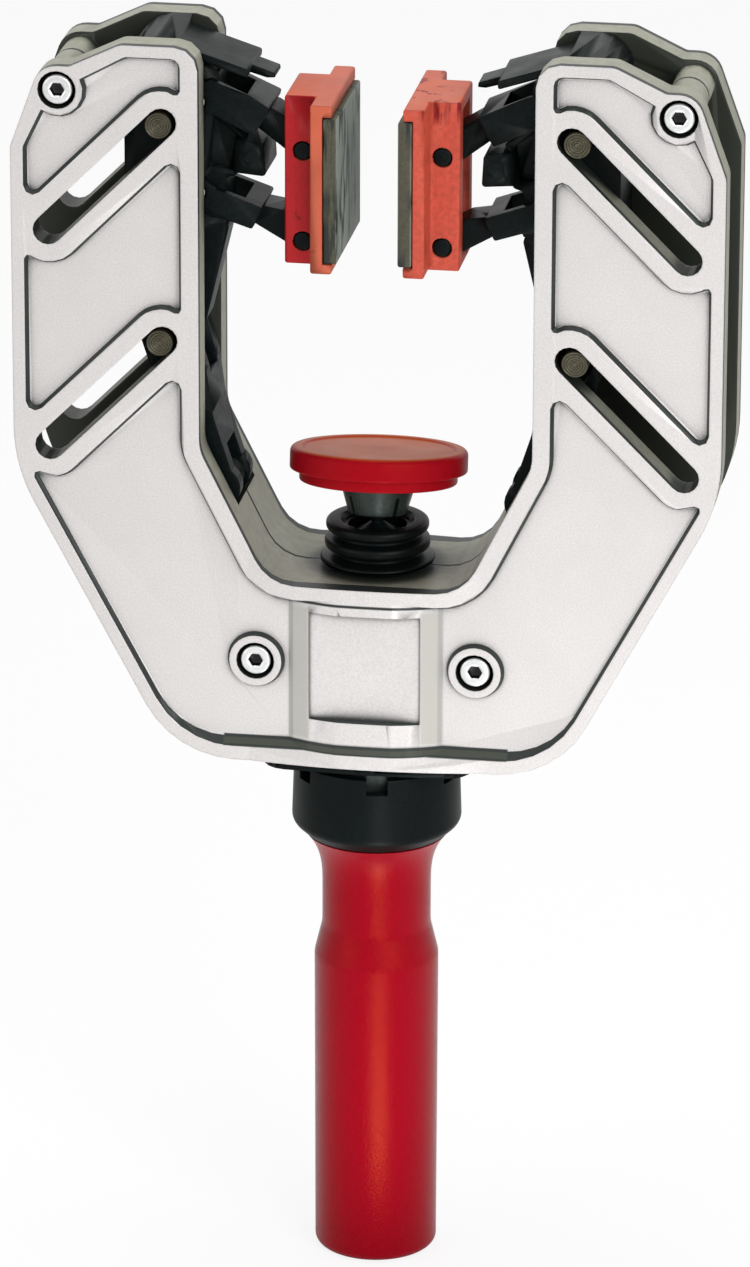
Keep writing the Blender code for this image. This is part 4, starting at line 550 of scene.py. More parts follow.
@dataclass(frozen=True)
class Finishes:
    """Every finish of the clamp."""

    # The casting's finish paints shade on walls, in closed-in places and corners, on the bulge's
    # flanks, in each groove and on the base panel's foot step.
    casting: Finish = CastFinish("blasted_casting", (0.675, 0.65, 0.64), 0.44, 0.2,
                                 grain=2600.0, relief=0.000012, tone=0.10, blotch=60.0,
                                 shine=0.4, edge=0.0006)
    carriage: Finish = Finish("blackened_casting", (0.0045, 0.0075, 0.0075), 0.36, 0.0,
                              grain=900.0, relief=0.00004, tone=0.45, blotch=160.0, shine=0.09,
                              edge=0.0005)
    # Both jaws' second tone on their upper faces is painted light.
    red_jaw: Finish = FacedFinish("jaw_red", (0.46, 0.010, 0.014), 0.42, grain=1200.0,
                                  relief=0.00001, tone=0.10, shine=0.25, edge=0.0005,
                                  faced=(0.55, 0.115, 0.060), streak=(0.16, 0.004, 0.006),
                                  cover=0.62, run=Grain.DEEPWISE, flange=0.0122)
    worn_jaw: Finish = FacedFinish("scuffed_jaw_red", (0.58, 0.085, 0.050), 0.46, grain=900.0,
                                   relief=0.00002, tone=0.16, shine=0.25, edge=0.0005,
                                   faced=(0.58, 0.13, 0.070), streak=(0.22, 0.006, 0.010),
                                   cover=0.57, run=Grain.UPRIGHT)
    pad: Finish = FacedFinish("pad_rubber", (0.075, 0.070, 0.045), 0.58, grain=1400.0,
                              relief=0.00003, tone=0.2, shine=0.3, axis="X",
                              faced=(0.25, 0.28, 0.25), streak=(0.018, 0.022, 0.018),
                              cover=0.49, streak_scale=520.0)
    # The disc's second tone on its upper face is painted light.
    disc: Finish = FacedFinish("disc_red", (0.33, 0.004, 0.010), 0.34, grain=1000.0,
                               relief=0.000006, tone=0.06, shine=0.12, tint=(1.0, 0.2, 0.1),
                               faced=(0.50, 0.105, 0.010), faced_from=0.80)
    grip: Finish = Finish("grip_red", (0.31, 0.0002, 0.012), 0.17, grain=2600.0,
                          relief=0.00009, tone=0.06, blotch=300.0, shine=0.34,
                          tint=(1.0, 0.22, 0.03))
    rubber: Finish = Finish("seal_rubber", (0.003, 0.0045, 0.0045), 0.34, grain=1400.0,
                            relief=0.00002, tone=0.3, shine=0.10)
    collar: Finish = Finish("collar_plastic", (0.0035, 0.006, 0.006), 0.36, grain=2400.0,
                            relief=0.00003, tone=0.4, shine=0.09)
    socket: Finish = Finish("socket_metal", (0.03, 0.042, 0.036), 0.36, 0.4, grain=1100.0,
                            relief=0.00003, tone=0.3)
    pin: Finish = Finish("pin_steel", (0.095, 0.085, 0.052), 0.36, 0.4, grain=1600.0,
                         relief=0.00002, tone=0.4)
    steel: Finish = Finish("turned_steel", (0.42, 0.41, 0.38), 0.30, 1.0, grain=1600.0,
                           relief=0.00002, tone=0.12)
    # The screws' finish paints shade in the socket and down the head's sides.
    screw: Finish = ScrewFinish("plated_screw", (0.85, 0.86, 0.85), 0.24, 0.6, grain=1800.0,
                                relief=0.00001, tone=0.10)
    bronze: Finish = Finish("bush_bronze", (0.45, 0.30, 0.14), 0.34, 1.0, grain=1600.0,
                            relief=0.00002, tone=0.15)

    def build(self) -> dict[str, Material]:
        """Make every material once, under the name of its field."""
        return {name: getattr(self, name).make() for name in self.__dataclass_fields__}


# Shapes


def fillet(corners: Sequence[Corner], closed: bool = False, steps: int = 6) -> list[Pair]:
    """Round the corners of an outline.

    Args:
        corners: Places with the radius of each.
        closed: Whether the last place joins the first.
        steps: Pieces of each round.

    Returns:
        The outline's points.
    """
    points: list[Pair] = []
    last = len(corners) - 1
    for index, (x, y, radius) in enumerate(corners):
        if radius == 0 or (not closed and index in (0, last)):
            points.append((x, y))
            continue
        here = Vector((x, y))
        before = (Vector(corners[index - 1][:2]) - here).normalized()
        after = (Vector(corners[(index + 1) % len(corners)][:2]) - here).normalized()
        half = before.angle(after) / 2
        if half > math.pi / 2 - 0.01:
            points.append((x, y))
            continue
        middle = here + (before + after).normalized() * (radius / math.sin(half))
        first = here + before * (radius / math.tan(half)) - middle
        turn = first.angle_signed(here + after * (radius / math.tan(half)) - middle)
        for step in range(steps + 1):
            swing = Matrix.Rotation(turn * -step / steps, 2)
            place = middle + swing @ first
            points.append((place.x, place.y))
    return points


def put(name: str, data: object) -> Object:
    """Add a new object to the scene.

    Args:
        name: The object's name.
        data: Its mesh, curve, light or camera.

    Returns:
        The new object.
    """
    thing = bpy.data.objects.new(name, data)
    bpy.context.scene.collection.objects.link(thing)
    return thing


def mesh_object(name: str, builder: BMesh, smooth_deg: float = 35.0) -> Object:
    """Make an object from a bmesh, closed, with its faces outwards.

    Args:
        name: The object's name.
        builder: The shape, which is used up.
        smooth_deg: Edges sharper than this stay sharp.

    Returns:
        The new object.
    """
    bmesh.ops.remove_doubles(builder, verts=builder.verts, dist=1e-7)
    bmesh.ops.recalc_face_normals(builder, faces=builder.faces)
    mesh = bpy.data.meshes.new(name)
    builder.to_mesh(mesh)
    builder.free()
    thing = put(name, mesh)
    shade_round(thing, smooth_deg)
    return thing


def shade_round(thing: Object, smooth_deg: float) -> None:
    """Shade a mesh round, apart from its sharp edges."""
    for polygon in thing.data.polygons:
        polygon.use_smooth = True
    thing.data.set_sharp_from_angle(angle=math.radians(smooth_deg))


def turned(name: str, profile: Sequence[Pair], sides: int = 96, bore: bool = False) -> Object:
    """Turn a profile of radius and height about the upright axis.

    Args:
        name: The object's name.
        profile: The points, from axis to axis, or a closed loop where there is a bore.
        sides: Faces round the piece.
        bore: Whether the profile is a closed loop off the axis.

    Returns:
        The turned object.
    """
    builder = bmesh.new()
    rows = []
    for radius, height in profile:
        count = 1 if radius < 1e-7 else sides
        rows.append([builder.verts.new((radius * math.cos(math.tau * step / sides),
                                        radius * math.sin(math.tau * step / sides), height))
                     for step in range(count)])
    for low, high in zip(rows, rows[1:] + rows[:1] if bore else rows[1:]):
        for index in range(sides):
            ahead = (index + 1) % sides
            ring = [low[index % len(low)], low[ahead % len(low)], high[ahead % len(high)],
                    high[index % len(high)]]
            ring = list(dict.fromkeys(ring))
            if len(ring) > 2:
                builder.faces.new(ring)
    return mesh_object(name, builder)


def lay_along_depth(thing: Object) -> None:
    """Turn an upright piece so that its axis runs front to back, head in front."""
    thing.data.transform(Matrix(((1, 0, 0, 0), (0, 0, 1, 0), (0, -1, 0, 0), (0, 0, 0, 1))))


def bake(thing: Object) -> Object:
    """Turn an object and its live modifiers into a plain mesh.

    Args:
        thing: The object, which is replaced.

    Returns:
        The plain object under the same name.
    """
    view = bpy.context.evaluated_depsgraph_get()
    mesh = bpy.data.meshes.new_from_object(thing.evaluated_get(view))
    name = thing.name
    bpy.data.objects.remove(thing)
    return put(name, mesh)


def carve(thing: Object, blade: Object) -> Object:
    """Cut a closed blade out of a closed piece, and drop the blade.

    Args:
        thing: The piece, which is replaced.
        blade: The blade.

    Returns:
        The cut piece under the same name.
    """
    cut = thing.modifiers.new(blade.name, "BOOLEAN")
    cut.object, cut.solver = blade, "EXACT"
    thing = bake(thing)
    bpy.data.objects.remove(blade)
    return thing


def carried(node: str, name: str, smooth_deg: float = 32.0) -> Object:
    """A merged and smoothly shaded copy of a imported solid.

    Args:
        node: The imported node.
        name: The new piece's name.
        smooth_deg: Edges sharper than this stay sharp in the shading.

    Returns:
        The piece, which stands for the node.
    """
    builder = bmesh.new()
    builder.from_mesh(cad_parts[node].data)
    bmesh.ops.remove_doubles(builder, verts=builder.verts, dist=1e-6)
    piece = mesh_object(name, builder, smooth_deg)
    weighting = piece.modifiers.new("flat_faces_first", "WEIGHTED_NORMAL")
    weighting.mode = "FACE_AREA"
    weighting.weight = 50
    weighting.keep_sharp = True
    piece = bake(piece)
    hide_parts(node)
    return piece


def rounded_block(name: str, low: Vector, high: Vector, edge: float, steps: int = 3) -> Object:
    """A block with round edges.

    Args:
        name: The object's name.
        low: Its lowest corner.
        high: Its highest corner.
        edge: The radius of its edges.
        steps: Pieces of each round.

    Returns:
        The plain object.
    """
    builder = bmesh.new()
    bmesh.ops.create_cube(builder, size=1.0)
    place = Matrix.Translation((low + high) / 2) @ Matrix.Diagonal((*(high - low), 1.0))
    bmesh.ops.transform(builder, matrix=place, verts=builder.verts)
    bmesh.ops.bevel(builder, geom=builder.edges[:], offset=edge, segments=steps, profile=0.5,
                    affect="EDGES")
    return mesh_object(name, builder, 50.0)


# Geometry node trees


class Tree(Nodes):
    """A geometry node tree with named inputs."""

    prefix = "GeometryNode"

    def __init__(self, name: str, **inputs: str) -> None:
        """Start a tree that takes a shape or path and a material, and gives a shape.

        Args:
            name: The tree's name in plain words.
            **inputs: The types of its other inputs by name, with underscores for spaces.
        """
        super().__init__(bpy.data.node_groups.new(name, "GeometryNodeTree"))
        face = self.tree.interface
        face.new_socket("Geometry", in_out="OUTPUT", socket_type="NodeSocketGeometry")
        self.sockets = {
            key: face.new_socket(key.replace("_", " "), in_out="INPUT",
                                 socket_type="NodeSocket" + kind).identifier
            for key, kind in {"Geometry": "Geometry", **inputs, "Finish": "Material"}.items()}
        self.given = self.tree.nodes.new("NodeGroupInput").outputs
        self.result = self.tree.nodes.new("NodeGroupOutput")

    def end(self, geometry: NodeSocket) -> "Tree":
        """Close the tree with real meshes and one material.

        Args:
            geometry: The socket that gives the made shape.

        Returns:
            The tree itself.
        """
        real = self.add("RealizeInstances", Geometry=geometry).outputs["Geometry"]
        paint = self.add("SetMaterial", Geometry=real, Material=self.given["Finish"])
        self.join(paint.outputs["Geometry"], self.result.inputs["Geometry"])
        return self

    def run(self, thing: Object, **values: object) -> Object:
        """Put the tree on an object, set its inputs and make the result a plain mesh.

        Args:
            thing: The object that holds the master shape or path.
            **values: Input values by name, with underscores for spaces.

        Returns:
            The plain object.
        """
        modifier = thing.modifiers.new(self.tree.name, "NODES")
        modifier.node_group = self.tree
        for key, value in values.items():
            modifier[self.sockets[key]] = value
        return bake(thing)


def row_tree() -> Tree:
    """A tree that repeats a master shape along two straight rows.

    Returns:
        The tree, with the start, the step and the count of both rows as inputs.
    """
    tree = Tree("rows_of_fasteners", First_start="Vector", First_step="Vector",
                Second_start="Vector", Second_step="Vector", Count="Int")
    joined = tree.add("JoinGeometry")
    for word in ("First", "Second"):
        line = tree.add("MeshLine", Count=tree.given["Count"],
                        Start_Location=tree.given[word + " start"],
                        Offset=tree.given[word + " step"])
        tree.join(line.outputs["Mesh"], joined.inputs["Geometry"])
    spread = tree.add("InstanceOnPoints", Points=joined.outputs["Geometry"],
                      Instance=tree.given["Geometry"])
    return tree.end(spread.outputs["Instances"])


def wire_tree() -> Tree:
    """A tree that draws a round wire along a path.

    Returns:
        The tree, with the wire's radius as an input.
    """
    tree = Tree("spring_wire", Wire_radius="Float")
    ring = tree.add("CurvePrimitiveCircle", Resolution=12, Radius=tree.given["Wire radius"])
    sweep = tree.add("CurveToMesh", Curve=tree.given["Geometry"],
                     Profile_Curve=ring.outputs["Curve"], Fill_Caps=True)
    return tree.end(tree.add("SetShadeSmooth", Geometry=sweep.outputs["Mesh"]).outputs["Geometry"])


def notch_tree() -> Tree:
    """A tree that cuts a ring of notches into the top edge of a turned piece.

    Returns:
        The tree, with the notch's size, place, count and first turn as inputs.
    """
    tree = Tree("ring_of_notches", Notch_size="Vector", Notch_radius="Float",
                Notch_height="Vector", Count="Int", First_turn="Vector")
    given = tree.given
    ring = tree.add("MeshCircle", Vertices=given["Count"], Radius=given["Notch radius"])
    place = tree.add("Transform", Geometry=ring.outputs["Mesh"],
                     Translation=given["Notch height"], Rotation=given["First turn"])
    outward = tree.tree.nodes.new("ShaderNodeVectorMath")
    outward.operation = "MULTIPLY"
    outward.inputs[1].default_value = (1.0, 1.0, 0.0)
    tree.join(tree.add("InputPosition").outputs["Position"], outward.inputs[0])
    turn = tree.tree.nodes.new("FunctionNodeAlignEulerToVector")
    turn.axis = "X"
    tree.join(outward.outputs["Vector"], turn.inputs["Vector"])
    block = tree.add("MeshCube", Size=given["Notch size"])
    spread = tree.add("InstanceOnPoints", Points=place.outputs["Geometry"],
                      Instance=block.outputs["Mesh"], Rotation=turn.outputs["Rotation"])
    real = tree.add("RealizeInstances", Geometry=spread.outputs["Instances"])
    cut = tree.add("MeshBoolean")
    cut.operation, cut.solver = "DIFFERENCE", "EXACT"
    tree.join(given["Geometry"], cut.inputs["Mesh 1"])
    tree.join(real.outputs["Geometry"], cut.inputs["Mesh 2"])
    return tree.end(cut.outputs["Mesh"])


# Sub-assemblies


@dataclass
class Assembly:
    """A group of pieces with the finishes and the trees that they share."""

    paints: dict[str, Material]
    trees: dict[str, Tree]

    def finish(self, thing: Object, paint: str, body: str, slot: str) -> None:
        """Give a piece its material and let it ride on its body.

        Args:
            thing: The piece.
            paint: The finish's name.
            body: The body that it moves with.
            slot: Not used.
        """
        thing.data.materials.clear()
        thing.data.materials.append(self.paints[paint])
        for polygon in thing.data.polygons:
            polygon.material_index = 0
        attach(thing, body)
        LOG.info("%s: %d faces on %s", thing.name, len(thing.data.polygons), body)

    def repaint(self, nodes: Iterable[str], paint: str) -> None:
        """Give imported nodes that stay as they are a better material.

        Args:
            nodes: The nodes' names.
            paint: The finish's name.
        """
        for node in nodes:
            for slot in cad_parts[node].material_slots:
                slot.material = self.paints[paint]


@dataclass
class FrameCastings(Assembly):
    """The two cast shells with their screws, pins, springs, bush and plate."""

    shell_smooth_deg: float = 15.0
    arm_screw_across: float = 0.0655
    arm_screw_down: float = 0.01035
    base_screw_across: float = 0.02366
    base_screw_down: float = 0.1348
    head_radius: float = 0.0032
    head_ease: float = 0.14
    head_height: float = 0.0040
    head_face: float = -0.01695
    shank_radius: float = 0.0020
    shank_end: float = 0.01455
    hex_radius: float = 0.00165
    hex_depth: float = 0.0022
    lever_pin_across: float = 0.0331
    lever_pin_down: float = 0.0994
    coil_radius: float = 0.0033
    wire_radius: float = 0.00045
    coil_pitch: float = 0.00145
    coils: int = 4
    coil_steps: int = 24
    spring_leg: float = 0.0035

    def build(self) -> None:
        """Make and dress every piece of the frame."""
        for word in ("front", "rear"):
            shell = carried(f"{word}_shell", f"{word}_casting", self.shell_smooth_deg)
            self.finish(shell, "casting", "frame", "shell_grey")
        self.screws()
        for arm in Arm:
            self.spring(arm)
        self.repaint((f"{arm.word}_lever_pivot_pin" for arm in Arm), "carriage")
        self.repaint(("guide_bush",), "bronze")
        plate = carried("base_flange", "base_plate")
        self.finish(plate, "collar", "frame", "black_plastic")

    def screws(self) -> None:
        """Make one socket screw and repeat it over the four screw holes."""
        top, seat = self.head_face, self.head_face + self.head_height
        ease = self.head_radius * self.head_ease
        profile = fillet([(0, top, 0), (self.hex_radius * 1.18, top, 0),
                          (self.head_radius, top, ease), (self.head_radius, seat, 0),
                          (self.shank_radius, seat, 0), (self.shank_radius, self.shank_end, 0),
                          (0, self.shank_end, 0)], steps=4)
        master = carve(turned("shell_screws", profile, 48), self.hexagon())
        lay_along_depth(master)
        screws = self.trees["rows"].run(
            master, Count=2, Finish=self.paints["screw"],
            First_start=(-self.arm_screw_across, 0, level(self.arm_screw_down)),
            First_step=(2 * self.arm_screw_across, 0, 0),
            Second_start=(-self.base_screw_across, 0, level(self.base_screw_down)),
            Second_step=(2 * self.base_screw_across, 0, 0))
        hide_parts(*(f"{arm.word}_{row}_screw" for arm in Arm for row in ("arm", "base")))
        self.finish(screws, "screw", "frame", "bright_steel")

    def hexagon(self) -> Object:
        """Make the blade that cuts the hexagon socket into the screw's upright head."""
        low, high = self.head_face - self.hex_depth, self.head_face + self.hex_depth
        return turned("hexagon", [(0, low), (self.hex_radius, low), (self.hex_radius, high),
                                  (0, high + self.hex_depth * 0.2)], 6)

    def spring(self, arm: Arm) -> None:
        """Wind one lever's return spring.

        Args:
            arm: The arm that the spring is in.
        """
        points = []
        for step in range(self.coil_steps * self.coils + 1):
            turn = step / self.coil_steps
            points.append(Vector((self.coil_radius * math.cos(math.tau * turn),
                                  self.coil_pitch * (turn - self.coils / 2),
                                  self.coil_radius * math.sin(math.tau * turn))))
        leg = Vector((0, 0, self.spring_leg))
        points = [points[0] + leg] + points + [points[-1] - leg]
        curve = bpy.data.curves.new(f"{arm.word}_return_spring", "CURVE")
        curve.dimensions = "3D"
        path = curve.splines.new("POLY")
        path.points.add(len(points) - 1)
        for place, point in zip(path.points, points):
            place.co = (arm.across(self.lever_pin_across + point.x), point.y,
                        level(self.lever_pin_down) + point.z, 1)
        spring = self.trees["wire"].run(put(curve.name, curve), Wire_radius=self.wire_radius,
                                        Finish=self.paints["carriage"])
        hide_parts(f"{arm.word}_lever_spring")
        self.finish(spring, "carriage", "frame", "steel")


@dataclass
class SpindleSeal(Assembly):
    """The ribbed rubber seal on the floor of the throat."""

    bore: float = 0.0063
    core: float = 0.0092
    foot: float = 0.1167
    top: float = 0.1070
    dish: float = 0.0080
    dish_depth: float = 0.0012
    rib_round: float = 0.00085
    rib_downs: tuple[float, ...] = (0.1160, 0.1119, 0.1079)
    rib_radii: tuple[float, ...] = (0.01225, 0.01133, 0.01105)
    rib_half: float = 0.0015

    def build(self) -> None:
        """Turn the seal as one closed piece with its bore and ribs."""
        corners: list[Corner] = [(self.core, level(self.foot), 0)]
        for down, radius in zip(self.rib_downs, self.rib_radii):
            low = max(level(down) - self.rib_half, level(self.foot))
            high = level(down) + self.rib_half * 0.8
            if low > level(self.foot):
                corners.append((self.core, low - self.rib_half * 0.15, FINE))
            corners += [(radius, low + self.rib_half * 0.35, self.rib_round),
                        (radius, high - self.rib_half * 0.2, self.rib_round)]
            if down > self.rib_downs[-1]:
                corners.append((self.core, high + self.rib_half * 0.3, FINE))
        corners += [(self.core * 0.97, level(self.top), FINE),
                    (self.dish, level(self.top), FINE),
                    (self.dish * 0.92, level(self.top + self.dish_depth), CRISP),
                    (self.bore, level(self.top + self.dish_depth), CRISP),
                    (self.bore, level(self.foot), 0)]
        seal = turned("spindle_seal_ribs", fillet(corners, closed=True), 112, bore=True)
        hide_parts("spindle_seal")
        self.finish(seal, "rubber", "frame", "black_rubber")


@dataclass
class GripAndCollar(Assembly):
    """The red grip, the notched collar and the sleeve that turn together."""

    length: float = 0.0973
    radius: float = 0.0135
    end_radius: float = 0.0133
    neck_radius: float = 0.0118
    mouth_radius: float = 0.0154
    shoulder: float = 0.0724
    shoulder_half: float = 0.0035
    shoulder_rounds: Pair = (0.006, 0.008)
    flare_height: float = 0.0130
    flare_steps: int = 12
    end_round: float = 0.0020
    bore_radius: float = 0.0083
    bore_end: float = 0.0657
    collar_foot: float = 0.0976
    collar_height: float = 0.0174
    collar_radius: float = 0.0184
    collar_top_radius: float = 0.0179
    collar_foot_radius: float = 0.0155
    collar_cone: float = 0.0027
    cone_round: float = 0.0025
    collar_wall: float = 0.0022
    collar_cup: float = 0.0052
    notch_width: float = 0.0046
    notch_depth: float = 0.0034
    notches: int = 6
    first_notch_deg: float = -81.0

    def build(self) -> None:
        """Make the grip and the collar, and dress the sleeve and the ring."""
        self.grip()
        self.collar()
        self.repaint(("drive_sleeve",), "steel")
        self.repaint(("thrust_ring",), "socket")

    def grip(self) -> None:
        """Turn the grip, with its shouldered neck and flared mouth."""
        low, high = self.shoulder - self.shoulder_half, self.shoulder + self.shoulder_half
        flare = self.length - self.flare_height
        widen = self.mouth_radius - self.neck_radius
        shares = [step / self.flare_steps for step in range(self.flare_steps + 1)]
        trumpet = [(self.neck_radius + widen * share ** 3, flare + self.flare_height * share)
                   for share in shares]
        first_round, second_round = self.shoulder_rounds
        wall = fillet([(0, 0, 0), (self.end_radius, 0, self.end_round),
                       (self.radius, low, first_round), (self.neck_radius, high, second_round),
                       (*trumpet[0], 0)], steps=10)
        profile = wall + trumpet[1:] + [(self.bore_radius, self.length),
                                        (self.bore_radius, self.bore_end), (0, self.bore_end)]
        grip = turned("grip", profile, 128)
        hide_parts("handle_grip")
        self.finish(grip, "grip", "handle", "grip_red")

    def collar(self) -> None:
        """Turn the collar and cut its notches."""
        top = self.collar_foot + self.collar_height
        cup = top - self.collar_cup
        lip = self.collar_top_radius - self.collar_wall
        post = self.bore_radius + self.collar_wall * 0.5
        profile = fillet([(self.collar_foot_radius, self.collar_foot, FINE),
                          (self.collar_radius, self.collar_foot + self.collar_cone,
                           self.cone_round),
                          (self.collar_top_radius, top, EASED), (lip, top, FINE),
                          (lip, cup, EASED), (post, cup, EASED), (post, top, CRISP),
                          (self.bore_radius, top, 0), (self.bore_radius, self.collar_foot, 0)],
                         closed=True)
        body = turned("notched_collar", profile, 144, bore=True)
        middle = (lip + self.collar_radius) / 2
        collar = self.trees["notches"].run(
            body, Count=self.notches, Notch_radius=middle, Finish=self.paints["collar"],
            Notch_size=(self.collar_wall * 2.4, self.notch_width, self.notch_depth * 2),
            Notch_height=(0, 0, top), First_turn=(0, 0, math.radians(self.first_notch_deg)))
        shade_round(collar, 35.0)
        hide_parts("collar")
        self.finish(collar, "collar", "handle", "black_plastic")


@dataclass
class PressureDisc(Assembly):
    """The spindle's end: ball, split socket and round pressure disc."""

    ball_down: float = 0.1029
    lean_deg: float = 10.0
    radius: float = 0.01905
    rise: float = 0.0114
    thickness: float = 0.0075
    step_radius: float = 0.01695
    step_height: float = 0.0025
    rim_round: float = 0.0013
    dish_radius: float = 0.0165
    dish_depth: float = 0.0004
    stud_hole: float = 0.0033
    stud_radius: float = 0.0030
    stud_length: float = 0.0048
    socket_top: float = 0.0081
    socket_foot: float = 0.0062
    socket_drop: float = 0.0029
    cavity: float = 0.0038
    lip: float = 0.0026
    slit: float = 0.0011
    slit_top: float = 0.0012
    slit_height: float = 0.02
    seat_gap: float = 0.0003

    def build(self) -> None:
        """Make the disc and the socket, and dress the spindle and its ball."""
        self.disc()
        self.socket()
        self.repaint(("spindle", "spindle_ball"), "carriage")

    def lean(self, thing: Object) -> None:
        """Tip a piece back about the ball, and set it at the ball's height."""
        tip = Matrix.Rotation(math.radians(-self.lean_deg), 4, "X")
        thing.data.transform(Matrix.Translation((0, 0, level(self.ball_down))) @ tip)

    def disc(self) -> None:
        """Turn the disc with its raised edge ring and stepped foot."""
        top, foot = self.rise, self.rise - self.thickness
        step = foot + self.step_height
        roof = foot + self.stud_length
        profile = fillet([(0, roof, 0), (self.stud_hole, roof, 0), (self.stud_hole, foot, 0),
                          (self.step_radius, foot, SOFT), (self.step_radius, step, FINE),
                          (self.radius, step, SOFT), (self.radius, top, self.rim_round),
                          (self.dish_radius, top, SOFT),
                          (self.dish_radius - self.dish_depth * 1.6, top - self.dish_depth, SOFT),
                          (0, top - self.dish_depth, 0)])
        disc = turned("round_pressure_disc", profile, 144)
        self.lean(disc)
        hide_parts("pressure_disc")
        self.finish(disc, "disc", "disc", "red_plastic")

    def socket(self) -> None:
        """Turn the socket and split its foot into four fingers."""
        top = self.rise - self.thickness - self.seat_gap
        stud = top + self.stud_length
        start = math.asin(self.lip / self.cavity)
        inner = [(self.cavity * math.sin(angle), -self.cavity * math.cos(angle))
                 for angle in (start + (math.pi - start) * step / 16 for step in range(16))]
        outer = fillet([(0, stud, 0), (self.stud_radius, stud, CRISP), (self.stud_radius, top, 0),
                        (self.socket_top, top, EASED),
                        (self.socket_foot, -self.socket_drop, EASED),
                        (self.lip * 1.3, -self.socket_drop, 0)])
        socket = turned("split_socket", outer + inner + [(0, self.cavity)], 96)
        for angle_deg in (45, 135):
            slit = bmesh.new()
            bmesh.ops.create_cube(slit, size=1.0)
            place = (Matrix.Rotation(math.radians(angle_deg), 4, "Z")
                     @ Matrix.Translation((0, 0, self.slit_top - self.slit_height / 2))
                     @ Matrix.Diagonal((self.socket_top * 3, self.slit, self.slit_height, 1)))
            bmesh.ops.transform(slit, matrix=place, verts=slit.verts)
            socket = carve(socket, mesh_object("slit", slit))
        shade_round(socket, 35.0)
        self.lean(socket)
        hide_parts("ball_socket")
        self.finish(socket, "socket", "disc", "dark_metal")


@dataclass
class JawSide(Assembly):
    """One arm's carriage, pins, links, lever, jaw and pad.

    A pin has its radius and half its length. Its place is the distance from the centre line,
    the upper pin's distance below the arm top and how far the lower pin is below that one.
    """

    arm: Arm = Arm.LEFT
    jaw_paint: str = "red_jaw"
    pad_round: float = 0.0005
    guide_radius: float = 0.00285
    guide_reach: float = 0.01625
    guide_place: Corner = (0.044198, 0.017398, 0.0477)
    ring_shares: tuple[float, ...] = (0.16, 0.34, 0.54, 0.74)
    ring_sink: float = 0.00028
    ring_dip: float = 0.00005
    middle_sink: float = 0.00012
    guide_ease: float = 0.00022
    jaw_pin: Pair = (0.0019, 0.0085)
    jaw_pin_place: Corner = (0.0148, 0.02366, 0.01974)
    link_pin: Pair = (0.0016, 0.0076)
    link_pin_place: Corner = (0.0374, 0.01436, 0.01974)
    pin_ease: float = 0.16

    def build(self) -> None:
        """Make and dress every piece of this side."""
        word = self.arm.word
        for node in ("carriage", "upper_link", "lower_link", "lever"):
            piece = carried(f"{word}_{node}", f"{word}_{node}_casting")
            self.finish(piece, "carriage", f"{word}_{node}", "cast_black")
        jaw = carried(f"{word}_jaw", f"{word}_jaw_block")
        self.finish(jaw, self.jaw_paint, f"{word}_jaw", "red_plastic")
        low, high = (Vector(corner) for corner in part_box(f"{word}_jaw_pad"))
        pad = rounded_block(f"{word}_pad", low, high, self.pad_round)
        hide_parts(f"{word}_jaw_pad")
        self.finish(pad, "pad", f"{word}_jaw", "pad_rubber")
        self.pins("guide_pins", self.guide_profile(), self.guide_place, "carriage", "pin",
                  "pin_steel", ("upper_guide_pin", "lower_guide_pin"))
        self.pins("link_pins", self.pin_profile(*self.link_pin), self.link_pin_place, "carriage",
                  "steel", "steel", ("upper_link_pin", "lower_link_pin"))
        self.pins("jaw_pins", self.pin_profile(*self.jaw_pin), self.jaw_pin_place, "jaw",
                  "carriage", "pin_steel", ("jaw_upper_pin", "jaw_lower_pin"))

    def pin_profile(self, radius: float, reach: float) -> list[Pair]:
        """The profile of a plain pin with eased ends, from end to end."""
        ease = radius * self.pin_ease
        return fillet([(0, -reach, 0), (radius, -reach, ease), (radius, reach, ease),
                       (0, reach, 0)], steps=3)

    def guide_profile(self) -> list[Pair]:
        """The profile of a guide pin, with turned rings in both ends.

        Returns:
            The profile from end to end.
        """
        radius, reach = self.guide_radius, self.guide_reach
        end: list[Pair] = [(0, reach - self.middle_sink)]
        for share in self.ring_shares:
            end += [(radius * share, reach), (radius * (share + 0.06), reach - self.ring_sink),
                    (radius * (share + 0.12), reach - self.ring_dip)]
        end += [(radius * 0.93, reach), (radius, reach - self.guide_ease)]
        return [(r, -h) for r, h in end] + [(r, h) for r, h in reversed(end)]

    def pins(self, name: str, profile: list[Pair], place: Corner, body: str, paint: str,
             slot: str, nodes: Sequence[str]) -> None:
        """Turn one pin and repeat it at its upper and lower place.

        Args:
            name: The pins' name.
            profile: The pin's profile.
            place: Where the two pins are.
            body: The body that they move with.
            paint: The finish's name.
            slot: The record's slot.
            nodes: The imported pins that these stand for.
        """
        master = turned(f"{self.arm.word}_{name}", profile, 40)
        lay_along_depth(master)
        across, down, drop = place
        start = (self.arm.across(across), 0, level(down))
        pins = self.trees["rows"].run(master, Count=1, Finish=self.paints[paint],
                                      First_start=start, First_step=(0, 0, 0),
                                      Second_start=(start[0], 0, start[2] - drop),
                                      Second_step=(0, 0, 0))
        shade_round(pins, 30.0)
        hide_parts(*(f"{self.arm.word}_{node}" for node in nodes))
        self.finish(pins, paint, f"{self.arm.word}_{body}", slot)


# Stage


def hang(name: str, watts: float, sides: Pair, place: Sequence[float],
         turn: Sequence[float]) -> Object:
    """Hang a flat lamp.

    Args:
        name: The lamp's name.
        watts: Its power.
        sides: Its width and length.
        place: Where it hangs.
        turn: Its turn about X, Y and Z.

    Returns:
        The lamp.
    """
    light = bpy.data.lights.new(name, "AREA")
    light.shape = "RECTANGLE"
    light.size, light.size_y = sides
    light.energy = watts
    thing = put(name, light)
    thing.location, thing.rotation_euler = place, turn
    return thing


